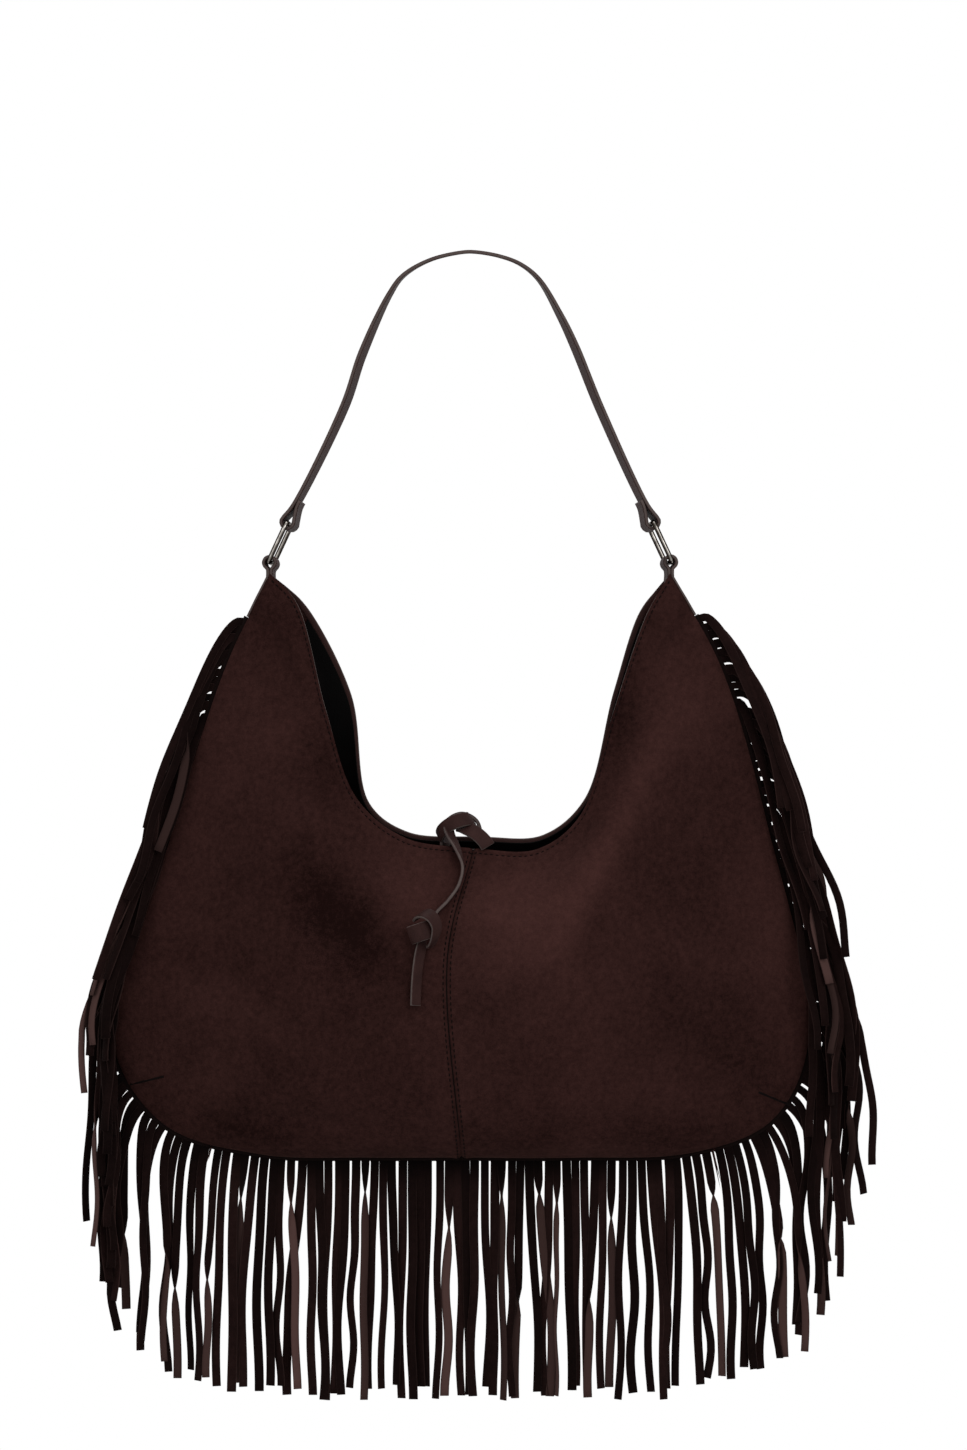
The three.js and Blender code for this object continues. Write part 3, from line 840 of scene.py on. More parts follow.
def add_grid(mesh: bmesh.types.BMesh, columns: int, rows: int,
             place: Callable[[int, int], Vector]) -> list[bmesh.types.BMVert]:
    """Adds a grid of faces whose corners are moved to their places.

    Args:
        mesh: the mesh that takes the grid.
        columns: faces across.
        rows: faces down.
        place: gives a corner's place from its column and row.

    Returns:
        The corners, row by row.
    """
    made = bmesh.ops.create_grid(mesh, x_segments=columns, y_segments=rows, size=0.5)["verts"]

    def order(vertex: bmesh.types.BMVert) -> tuple[int, int]:
        """Gives a corner's row and column."""
        return round((vertex.co.y + 0.5) * rows), round((vertex.co.x + 0.5) * columns)

    ordered = sorted(made, key=order)
    for index, vertex in enumerate(ordered):
        vertex.co = place(index % (columns + 1), index // (columns + 1))
    return ordered


@dataclass(frozen=True)
class BandSection:
    """The section of a flat leather band with rounded cut edges."""

    width: float
    thickness: float
    edge_steps: int = 5
    face_steps: int = 3
    rounding: float = 0.8
    rim_share: float = 0.02

    def face_shares(self) -> list[float]:
        """Gives where the corners of a broad face lie across it, the outer ones close to the rims.

        Returns:
            The shares of the way from rim to rim.
        """
        if self.face_steps < 4:
            return [step / self.face_steps for step in range(1, self.face_steps)]
        inner = self.face_steps - 2
        return [lerp(self.rim_share, 1.0 - self.rim_share, step / inner) for step in range(inner + 1)]

    def corners(self) -> list[tuple[float, float, float, float]]:
        """Gives the section's corners in turn.

        Returns:
            Each corner's distance across and outwards, its edge value and its reverse value.
        """
        radius = self.rounding * self.thickness / 2
        flat = self.width / 2 - radius
        corners = []
        for sign in (1.0, -1.0):
            for share in self.face_shares():
                across = lerp(-flat, flat, share) * sign
                corners.append((across, sign * self.thickness / 2, 0.0, 0.0 if sign > 0 else 1.0))
            for step in range(self.edge_steps):
                angle = math.pi * (0.5 - step / (self.edge_steps - 1))
                rim = math.cos(angle)
                height = sign * math.sin(angle)
                corners.append((sign * (flat + radius * rim), height * self.thickness / 2,
                                rim, 0.5 - 0.5 * height))
        return corners


@dataclass
class Station:
    """One place along a band, with the directions of its width and its outer face."""

    point: Vector
    widthways: Vector
    outwards: Vector
    spread: float = 1.0
    bulk: float = 1.0


def stations_along(route: Route, count: int,
                   widthways_at: Callable[[float], Vector]) -> list[Station]:
    """Places stations along a route.

    Args:
        route: the line that the band's middle follows.
        count: steps along the route.
        widthways_at: gives the direction of the band's width at a share of the route.

    Returns:
        The stations.
    """
    stations = []
    for step in range(count + 1):
        share = step / count
        tangent = route.tangent(share)
        widthways = widthways_at(share)
        widthways = (widthways - tangent * widthways.dot(tangent)).normalized()
        stations.append(Station(route.at(share), widthways, widthways.cross(tangent).normalized()))
    return stations


def add_band(mesh: bmesh.types.BMesh, stations: Sequence[Station], section: BandSection,
             closed: bool = False, tones: Sequence[float] = (0.5,), bare_ends: bool = True) -> None:
    """Adds a closed band along its stations.

    Args:
        mesh: the mesh that takes the band.
        stations: places along the band.
        section: the band's section.
        closed: whether the last station joins the first.
        tones: the tone at each station that the fringe's finish reads, with its painted shade, or one
            for all.
        bare_ends: whether the ends show as cut edges.
    """
    corners = section.corners()
    columns = len(corners)
    rows = len(stations) if closed else len(stations) - 1

    def place(column: int, row: int) -> Vector:
        """Gives the place of a corner of the section at a station."""
        across, out = corners[column % columns][:2]
        station = stations[row % len(stations)]
        beside = station.widthways * across * station.spread
        return station.point + beside + station.outwards * out * station.bulk

    verts = add_grid(mesh, columns, rows, place)
    edge = mesh.verts.layers.float[EDGE_VALUE]
    tone = mesh.verts.layers.float[TONE_AND_PAINTED_LIGHT_VALUE]
    reverse = mesh.verts.layers.float[REVERSE_VALUE]
    for index, vertex in enumerate(verts):
        column, row = index % (columns + 1), index // (columns + 1)
        at_end = bare_ends and not closed and row in (0, rows)
        vertex[edge] = 1.0 if at_end else corners[column % columns][2]
        vertex[reverse] = corners[column % columns][3]
        vertex[tone] = tones[min(row, len(tones) - 1)]
    sides = [v for i, v in enumerate(verts) if i % (columns + 1) in (0, columns)]
    ends = [v for i, v in enumerate(verts) if closed and i // (columns + 1) in (0, rows)]
    faces = dict.fromkeys(face for vertex in verts for face in vertex.link_faces)
    bmesh.ops.remove_doubles(mesh, verts=list(dict.fromkeys(sides + ends)), dist=1e-7)
    if not closed:
        kept = (face for face in faces if face.is_valid)
        rims = dict.fromkeys(rim for face in kept for rim in face.edges if rim.is_boundary)
        bmesh.ops.holes_fill(mesh, edges=list(rims), sides=0)


def add_stitch(mesh: bmesh.types.BMesh, point: Vector, along: Vector, outwards: Vector,
               length: float, thickness: float) -> None:
    """Adds one stitch of thread.

    Args:
        mesh: the mesh that takes it.
        point: its middle.
        along: its direction.
        outwards: the direction away from the leather.
        length: its length.
        thickness: the thread's thickness.
    """
    across = outwards.cross(along).normalized()
    turned = Matrix((along, across, outwards)).transposed().to_4x4()
    sized = Matrix.Diagonal((length / 2, thickness / 2, thickness / 2, 1.0))
    bmesh.ops.create_uvsphere(mesh, u_segments=6, v_segments=5, radius=1.0,
                              matrix=Matrix.Translation(point) @ turned @ sized)


@dataclass
class Workshop:
    """Turns meshes into pieces that carry a finish and ride on the frame."""

    finishes: Finishes
    rim_segments: int = 2
    rim_angle: float = math.radians(50)

    def piece(self, name: str, mesh: bmesh.types.BMesh, slot: str, replaces: Sequence[str] = (),
              body: Body = Body.BAG, thread: bool = False, wall: float = 0.0,
              rim: float = 0.0) -> bpy.types.Object:
        """Makes one piece.

        Args:
            name: the piece's name.
            mesh: its shape, which is used up.
            slot: the record's material slot.
            replaces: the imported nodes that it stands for.
            body: the body that it rides on.
            thread: whether it is sewing thread.
            wall: thickness given to an open sheet.
            rim: rounding of a sheet's rim.

        Returns:
            The piece's object.
        """
        if not wall:
            bmesh.ops.recalc_face_normals(mesh, faces=mesh.faces)
        data = bpy.data.meshes.new(name)
        mesh.to_mesh(data)
        mesh.free()
        data.polygons.foreach_set("use_smooth", [True] * len(data.polygons))
        data.materials.append(self.finishes.materials["thread" if thread else slot])
        piece = bpy.data.objects.new(name, data)
        bpy.context.scene.collection.objects.link(piece)
        if wall:
            solid = piece.modifiers.new("wall", "SOLIDIFY")
            solid.thickness = wall
            solid.offset = 0.0
            solid.use_even_offset = True
        if rim:
            bevel = piece.modifiers.new("rim", "BEVEL")
            bevel.width = rim
            bevel.segments = self.rim_segments
            bevel.limit_method = "ANGLE"
            bevel.angle_limit = self.rim_angle
            bevel.harden_normals = True
        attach(piece, body.value)
        if replaces:
            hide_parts(*replaces)
        LOG.info("%s: %d faces on %s", name, len(data.polygons), body.value)
        return piece


@dataclass(frozen=True)
class Crease:
    """A soft fold or a sewn dart in a face, between two places in the front view; the same stroke also
    paints highlight or shade into the front's tone.
    """

    start: Place
    end: Place
    width: float
    height: float
    swell: Span = (0.12, 0.88)

    def relief(self, point: Vector) -> float:
        """Gives how far the crease lifts the suede at a point.

        Args:
            point: a point of the face.

        Returns:
            The lift outwards, below 0 for a hollow.
        """
        start = Vector(self.start)
        span = Vector(self.end) - start
        reach = (Vector((point.x, point.z)) - start).dot(span) / span.length_squared
        held = min(1.0, max(0.0, reach))
        distance = (Vector((point.x, point.z)) - start - span * held).length
        return self.height * bump(distance, self.width) * math.sin(math.pi * lerp(*self.swell, held))


@dataclass(frozen=True)
class Ridge:
    """A narrow ridge or hollow along an edge."""

    inset: float
    width: float
    height: float

    def lift(self, distance: float) -> float:
        """Gives how far it lifts the suede at a distance from the edge."""
        return self.height * bump(distance - self.inset, self.width)


@dataclass
class SuedeBody:
    """The four suede halves with their hems, seams, darts and stitches, and what lines them."""

    workshop: Workshop
    fringe: dict[str, list[bpy.types.Object]]
    columns: int = 88
    rows: int = 112
    gathering: float = 0.72
    stitch_inset: float = 2.4 * MM
    stitch_pitch: float = 3.4 * MM
    stitch_length: float = 2.5 * MM
    thread: float = 0.8 * MM
    stitch_sunk: float = 0.2
    bare_columns: int = 3
    bare_rows: int = 2
    half_flat: Place = (0.24, 0.37)
    half_area: float = 0.0545
    suede_rim: float = 0.45 * MM
    back_binding: BandSection = BandSection(4.6 * MM, PANEL_THICKNESS + 1.5 * MM)
    back_binding_drop: float = 1.1 * MM
    front_binding: BandSection = BandSection(1.5 * MM, PANEL_THICKNESS + 0.3 * MM)
    front_binding_drop: float = 0.3 * MM
    binding_steps: int = 70
    binding_start: float = 0.012
    binding_taper: int = 14
    binding_end_width: float = 0.3
    binding_end_bulk: float = 0.4
    inside_columns: int = 56
    facing_rows: int = 14
    facing_flat: Place = (0.42, 0.05)
    facing_area: float = 0.0135
    facing_rim: float = 0.3 * MM
    facing_wall: float = 1.0 * MM
    lining_rows: int = 40
    lining_flat: Place = (0.45, 0.32)
    lining_area: float = 0.085
    lining_wall: float = 0.8 * MM
    facing_clearance: float = 1.6 * MM
    lining_clearance: float = 4.5 * MM
    facing_start: float = 0.144
    facing_top: float = 0.008
    facing_foot: float = 0.156
    lining_start: float = 0.054
    lining_top: float = 0.159
    lining_foot: float = 0.926
    front_creases: tuple[Crease, ...] = (
        Crease((-0.204, -0.494), (-0.18, -0.489), 5 * MM, 1.2 * MM),
        Crease((0.194, -0.506), (0.17, -0.497), 5 * MM, 1.2 * MM),
        Crease((0.105, -0.31), (0.03, -0.43), 18 * MM, 3.4 * MM),
        Crease((0.115, -0.36), (0.085, -0.46), 18 * MM, -1.2 * MM),
        Crease((-0.1, -0.38), (-0.045, -0.43), 18 * MM, -1.6 * MM),
        Crease((-0.125, -0.33), (-0.1, -0.44), 18 * MM, 2.2 * MM),
        Crease((-0.16, -0.515), (-0.03, -0.522), 8 * MM, -1.5 * MM),
        Crease((0.15, -0.512), (0.04, -0.522), 9 * MM, -1.3 * MM),
        Crease((-0.17, -0.45), (-0.09, -0.47), 14 * MM, 1.6 * MM),
        Crease((0.08, -0.47), (0.15, -0.45), 16 * MM, 1.4 * MM),
    )
    # Painted highlights and shade: soft strokes that lighten the front's tone on lit ridges and upper
    # arms and darken it in hollows and along the base; each height is a tone amount.
    front_painted_light: tuple[Crease, ...] = (
        Crease((0.012, -0.372), (0.05, -0.425), 42 * MM, 0.54),
        Crease((0.113, -0.295), (0.05, -0.415), 9 * MM, 0.34),
        Crease((0.13, -0.23), (0.12, -0.3), 28 * MM, 0.26),
        Crease((-0.13, -0.23), (-0.13, -0.3), 26 * MM, 0.18),
        Crease((-0.045, -0.365), (-0.02, -0.43), 20 * MM, 0.22),
        Crease((-0.1, -0.37), (-0.045, -0.425), 22 * MM, -0.4),
        Crease((-0.095, -0.28), (-0.078, -0.34), 13 * MM, -0.16),
        Crease((0.1, -0.25), (0.085, -0.31), 14 * MM, -0.2),
        Crease((-0.18, -0.41), (-0.12, -0.435), 18 * MM, -0.16),
        Crease((-0.185, -0.515), (-0.1, -0.53), 12 * MM, -0.22),
        Crease((0.0, -0.525), (0.15, -0.525), 13 * MM, -0.16),
        Crease((0.165, -0.35), (0.185, -0.46), 24 * MM, 0.16),
    )
    nap_lie: float = 0.36
    slouch_scale: float = 16.0
    slouch_height: float = 1.5 * MM
    ripple_scale: float = 45.0
    ripple_height: float = 0.45 * MM
    free_of_mouth: float = 30 * MM
    free_of_seam: float = 25 * MM
    free_of_centre: float = 20 * MM
    fold_from_seam: float = 4 * MM
    fold_from_mouth: float = 8 * MM
    fold_growth: float = 26 * MM
    centre_ridges: tuple[Ridge, ...] = (Ridge(3.0 * MM, 1.8 * MM, 0.5 * MM),
                                        Ridge(0.0, 1.1 * MM, -1.1 * MM))
    hem_ridges: tuple[Ridge, ...] = (Ridge(1.0 * MM, 1.1 * MM, 0.35 * MM),
                                     Ridge(2.4 * MM, 0.7 * MM, -0.3 * MM))
    turned_edge: Ridge = Ridge(0.0, 1.2 * MM, -0.5 * MM)
    joint: BandSection = BandSection(1.3 * MM, 0.5 * MM, edge_steps=3, face_steps=2)
    joint_lift: float = 0.1 * MM
    joint_steps: int = 60
    dart_steps: int = 8
    dart_neighbours: int = 4
    darts: tuple[tuple[Place, Place], ...] = (
        ((-0.2035, -0.498), (-0.183, -0.4925)),
        ((0.192, -0.5105), (0.1725, -0.502)),
    )
    back_creases: tuple[Crease, ...] = (
        Crease((-0.192, -0.506), (-0.172, -0.499), 2.2 * MM, -1.6 * MM),
        Crease((0.192, -0.511), (0.172, -0.502), 2.2 * MM, -1.6 * MM),
        Crease((0.1, -0.32), (0.05, -0.43), 20 * MM, 2.4 * MM),
        Crease((-0.105, -0.32), (-0.06, -0.43), 18 * MM, 2.4 * MM),
        Crease((-0.14, -0.513), (0.02, -0.522), 9 * MM, -1.5 * MM),
        Crease((0.05, -0.46), (0.15, -0.44), 18 * MM, 1.6 * MM),
    )

    def relief(self, half: HalfPanel, point: Vector, to_mouth: float, to_centre: float,
               to_seam: float) -> float:
        """Gives how far the suede stands out from its smooth patch.

        Args:
            half: the half that the point is on.
            point: the point.
            to_mouth: distance to the mouth edge.
            to_centre: distance to the centre seam.
            to_seam: distance to the outer seam.

        Returns:
            The lift outwards.
        """
        creases = self.front_creases if half.face is Face.FRONT else self.back_creases
        fold = sum(crease.relief(point) for crease in creases)
        fold *= smooth(to_seam / self.fold_from_seam)
        fold *= smooth((to_mouth - self.fold_from_mouth) / self.fold_growth)
        slouch = noise.noise(point * self.slouch_scale) * self.slouch_height
        slouch += noise.noise(point * self.ripple_scale) * self.ripple_height
        slouch *= smooth(to_mouth / self.free_of_mouth) * smooth(to_seam / self.free_of_seam)
        slouch *= smooth(to_centre / self.free_of_centre)
        seam = sum(ridge.lift(to_centre) for ridge in self.centre_ridges)
        hem = sum(ridge.lift(to_mouth) for ridge in self.hem_ridges)
        return fold + slouch + seam + hem + self.turned_edge.lift(to_seam)

    def surface(self, half: HalfPanel) -> list[list[Vector]]:
        """Gives the points of a half's suede, row by row from the mouth.

        Args:
            half: the half.

        Returns:
            The rows of points.
        """
        across = gathered(self.columns, self.gathering)
        down = gathered(self.rows, self.gathering)
        plain = [[half.at(u, v) for u in across] for v in down]
        rows = []
        for j, row in enumerate(plain):
            above, below = plain[max(0, j - 1)], plain[min(self.rows, j + 1)]
            points = []
            for i, point in enumerate(row):
                along = row[min(self.columns, i + 1)] - row[max(0, i - 1)]
                normal = along.cross(below[i] - above[i])
                if normal.length < 1e-12:
                    normal = Vector((0.0, half.face.value, 0.0))
                normal.normalize()
                if normal.y * half.face.value < 0:
                    normal.negate()
                to_seam = min((point - row[0]).length, (point - plain[-1][i]).length)
                lift = self.relief(half, point, (point - plain[0][i]).length,
                                   (point - row[-1]).length, to_seam)
                points.append(point + normal * lift)
            rows.append(points)
        return rows

    def build_half(self, name: str, half: HalfPanel) -> None:
        """Args:
            name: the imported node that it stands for.
            half: the half's patch.
        """
        rows = self.surface(half)
        mesh = new_mesh()
        verts = add_grid(mesh, self.columns, self.rows, lambda i, j: rows[j][i])
        tones = mesh.verts.layers.float[TONE_AND_PAINTED_LIGHT_VALUE]
        # The front's tone takes its painted highlights and painted shade.
        marks = self.front_painted_light if half.face is Face.FRONT else ()
        for vertex in verts:
            vertex[tones] = self.nap_lie + sum(mark.relief(vertex.co) for mark in marks)
        self.face_out(mesh, half)
        suede = self.workshop.piece(f"{name}_suede", mesh, "suede", [name],
                                    wall=PANEL_THICKNESS, rim=self.suede_rim)
        thread = new_mesh()
        mouth_columns = range(self.bare_columns, self.columns + 1)
        centre_rows = range(self.bare_rows, self.rows)
        self.sew(thread, [self.inside(rows, i, True) for i in mouth_columns], half)
        self.sew(thread, [self.inside(rows, j, False) for j in centre_rows], half)
        if half.side is LEFT:
            self.add_seam_line(thread, [row[-1] for row in rows], half)
        for dart in self.darts:
            if dart[0][0] * half.side.sign > 0:
                self.add_seam_line(thread, self.dart_line(rows, dart), half)
        sewn = self.workshop.piece(f"{name}_stitches", thread, "suede", thread=True)
        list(self.fringe.get(name, ()))

    @staticmethod
    def face_out(mesh: bmesh.types.BMesh, half: HalfPanel) -> None:
        """Turns an open sheet's faces towards the outside of its face of the bag.

        Args:
            mesh: the sheet.
            half: a half of that face.
        """
        mesh.normal_update()
        total = sum(face.normal.y * face.calc_area() for face in mesh.faces)
        if total * half.face.value < 0:
            bmesh.ops.reverse_faces(mesh, faces=mesh.faces)

    def inside(self, rows: list[list[Vector]], index: int, from_mouth: bool) -> Vector:
        """Gives a point of a stitched row, in from the mouth edge or the centre seam.

        Args:
            rows: the suede's points.
            index: the column, or the row.
            from_mouth: whether the row follows the mouth edge.

        Returns:
            The point.
        """
        inset = self.stitch_inset
        line = [row[index] for row in rows] if from_mouth else list(reversed(rows[index]))
        for before, after in zip(line, line[1:]):
            first, last = (before - line[0]).length, (after - line[0]).length
            if last >= inset:
                return before.lerp(after, (inset - first) / max(1e-9, last - first))
        return line[-1]

    def sew(self, thread: bmesh.types.BMesh, line: Sequence[Vector], half: HalfPanel) -> None:
        """Sews a row of stitches along a line.

        Args:
            thread: the mesh that takes the stitches.
            line: points of the row on the suede's middle.
            half: the half that is sewn.
        """
        route = Route(line, steps=2)
        lift = PANEL_THICKNESS / 2 + self.thread * self.stitch_sunk
        count = int(route.length / self.stitch_pitch)
        for i in range(count):
            share = (i + 0.5) / count
            along = route.tangent(share)
            outwards = Vector((0.0, half.face.value, 0.0))
            outwards = (outwards - along * outwards.dot(along)).normalized()
            add_stitch(thread, route.at(share) + outwards * lift, along, outwards,
                       self.stitch_length, self.thread)

    def dart_line(self, rows: list[list[Vector]], dart: tuple[Place, Place]) -> list[Vector]:
        """Gives points of a dart on the suede.

        Args:
            rows: the suede's points.
            dart: the dart's ends in the front view.

        Returns:
            The points.
        """
        points = []
        for step in range(self.dart_steps + 1):
            share = step / self.dart_steps
            target = flat_point(*(lerp(first, last, share) for first, last in zip(*dart)))
            near = sorted((Vector((p.x - target.x, 0.0, p.z - target.z)).length + 1e-6, p.y)
                          for row in rows for p in row)[:self.dart_neighbours]
            weights = [1.0 / distance for distance, _ in near]
            target.y = sum(weight * y for weight, (_, y) in zip(weights, near)) / sum(weights)
            points.append(target)
        return points

    def add_seam_line(self, thread: bmesh.types.BMesh, line: Sequence[Vector], half: HalfPanel) -> None:
        """Adds the dark joint that shows where two edges of suede meet.

        Args:
            thread: the mesh that takes it.
            line: points of the joint on the suede's middle.
            half: the half that it lies on.
        """
        outwards = Vector((0.0, half.face.value, 0.0))
        lift = outwards * (PANEL_THICKNESS / 2 + self.joint_lift)
        route = Route([point + lift for point in line], steps=2)
        stations = stations_along(route, self.joint_steps,
                                  lambda share: route.tangent(share).cross(outwards))
        add_band(thread, stations, self.joint)

    def build_inside(self, name: str, left: HalfPanel, right: HalfPanel) -> None:
        """Makes a face's mouth facing and lining.

        Args:
            name: front or back.
            left: the face's left half.
            right: its right half.
        """
        half_columns = self.inside_columns
        facing_inset = PANEL_THICKNESS / 2 + self.facing_clearance + self.facing_wall / 2
        lining_inset = PANEL_THICKNESS / 2 + self.lining_clearance + self.lining_wall / 2

        def layer(start: float, top: float, foot: float, steps: int, inset: float) -> bmesh.types.BMesh:
            """Gives the sheet of a layer inside the suede."""
            def place(i: int, j: int) -> Vector:
                """Gives the place of a corner of the sheet."""
                half = left if i <= half_columns else right
                u = lerp(1.0, start, abs(i - half_columns) / half_columns)
                return half.at(u, lerp(top, foot, j / steps), inset)

            mesh = new_mesh()
            add_grid(mesh, 2 * half_columns, steps, place)
            self.face_out(mesh, left)
            return mesh

        mesh = layer(self.facing_start, self.facing_top, self.facing_foot, self.facing_rows,
                     facing_inset)
        facing = self.workshop.piece(f"{name}_mouth_facing_leather", mesh, "facing_leather",
                                     [f"{name}_mouth_facing"], wall=self.facing_wall,
                                     rim=self.facing_rim)
        mesh = layer(self.lining_start, self.lining_top, self.lining_foot, self.lining_rows,
                     lining_inset)
        lining = self.workshop.piece(f"lining_{name}_cloth", mesh, "lining_cloth",
                                     [f"lining_{name}"], wall=self.lining_wall)

    def build_mouth_roll(self, name: str, left: HalfPanel, right: HalfPanel, section: BandSection,
                         drop: float) -> None:
        """Makes the smooth leather binding that is folded over a mouth edge.

        Args:
            name: the piece's name.
            left: the face's left half.
            right: its right half.
            section: the binding's width and thickness.
            drop: how far its middle is below the edge.
        """
        steps = self.binding_steps
        stations = []
        shares = [lerp(self.binding_start, 1.0, i / steps) for i in range(steps + 1)]
        line = [left.at(u, 0.0) for u in shares] + [right.at(u, 0.0) for u in reversed(shares)][1:]
        route = Route(line, steps=2)
        for i in range(2 * steps + 1):
            share = i / (2 * steps)
            along = route.tangent(share)
            upwards = along.cross(DEPTHWAYS).normalized()
            upwards = upwards if upwards.z > 0 else -upwards
            point = route.at(share) - upwards * drop
            taper = smooth(min(share, 1.0 - share) * self.binding_taper)
            stations.append(Station(point, upwards, DEPTHWAYS.copy(),
                                    spread=lerp(self.binding_end_width, 1.0, taper),
                                    bulk=lerp(self.binding_end_bulk, 1.0, taper)))
        mesh = new_mesh()
        add_band(mesh, stations, section, bare_ends=False)
        self.workshop.piece(name, mesh, "trim_leather")

    def build(self) -> None:
        """Makes all the halves, their facings, linings and mouth bindings."""
        halves = {"front_panel_left": FRONT_LEFT, "front_panel_right": FRONT_RIGHT,
                  "back_panel_left": BACK_LEFT, "back_panel_right": BACK_RIGHT}
        for name, half in halves.items():
            self.build_half(name, half)
        self.build_inside("front", FRONT_LEFT, FRONT_RIGHT)
        self.build_inside("back", BACK_LEFT, BACK_RIGHT)
        self.build_mouth_roll("back_mouth_binding", BACK_LEFT, BACK_RIGHT, self.back_binding,
                              self.back_binding_drop)
        self.build_mouth_roll("front_mouth_binding", FRONT_LEFT, FRONT_RIGHT, self.front_binding,
                              self.front_binding_drop)


@dataclass(frozen=True)
class StrandHang:
    """How one strand hangs: what sets it apart from its neighbours."""

    reach_share: float
    lean: float
    drift: float
    tuck: float
    wave: float
    wave_phase: float
    wave_length: float
    turn: float
    flip: float
    flip_place: float
    flip_length: float
    length: float
    width: float
    root_spread: float
    # The tone at the root, darkened as painted shade.
    root_shade_tone: float
    tone: float


@dataclass(frozen=True)
class HangRanges:
    """The least and the most that chance gives a strand; shares are of the usual measure."""

    far_stray: Span = (-6 * MM, 6 * MM)
    usual_stray: Span = (-1.5 * MM, 1.5 * MM)
    swing_out: Span = (-4 * MM, 5 * MM)
    free_reach: Span = (0.75, 1.0)
    covered_reach: Span = (0.15, 1.0)
    covered_reach_mode: float = 0.4
    near_reach: Span = (0.06, 0.22)
    splay: Span = (0.5, 1.0)
    lean: Span = (-0.035, 0.035)
    near_tuck: Span = (1 * MM, 5 * MM)
    wave: Span = (0.3 * MM, 1.5 * MM)
    wave_phase: Span = (0.0, 2 * math.pi)
    wave_length: Span = (9 * MM, 20 * MM)
    turn: Span = (-0.6, 0.6)
    flip: Span = (0.8, 1.1)
    flip_place: Span = (0.12, 0.65)
    flip_length: Span = (0.16, 0.36)
    bottom_length: Span = (0.975, 1.04)
    side_length: Span = (0.92, 1.02)
    width: Span = (0.95, 1.14)
    root_spread: Span = (0.8, 1.3)
    # Side strands' root tones: painted shade of random depth.
    root_shade_tone: Span = (-0.3, 0.4)
    clump_shift: Span = (-2.5 * MM, 2.5 * MM)
    clump_draw: Span = (0.25, 0.7)
    root_shift: Span = (-0.17, 0.17)


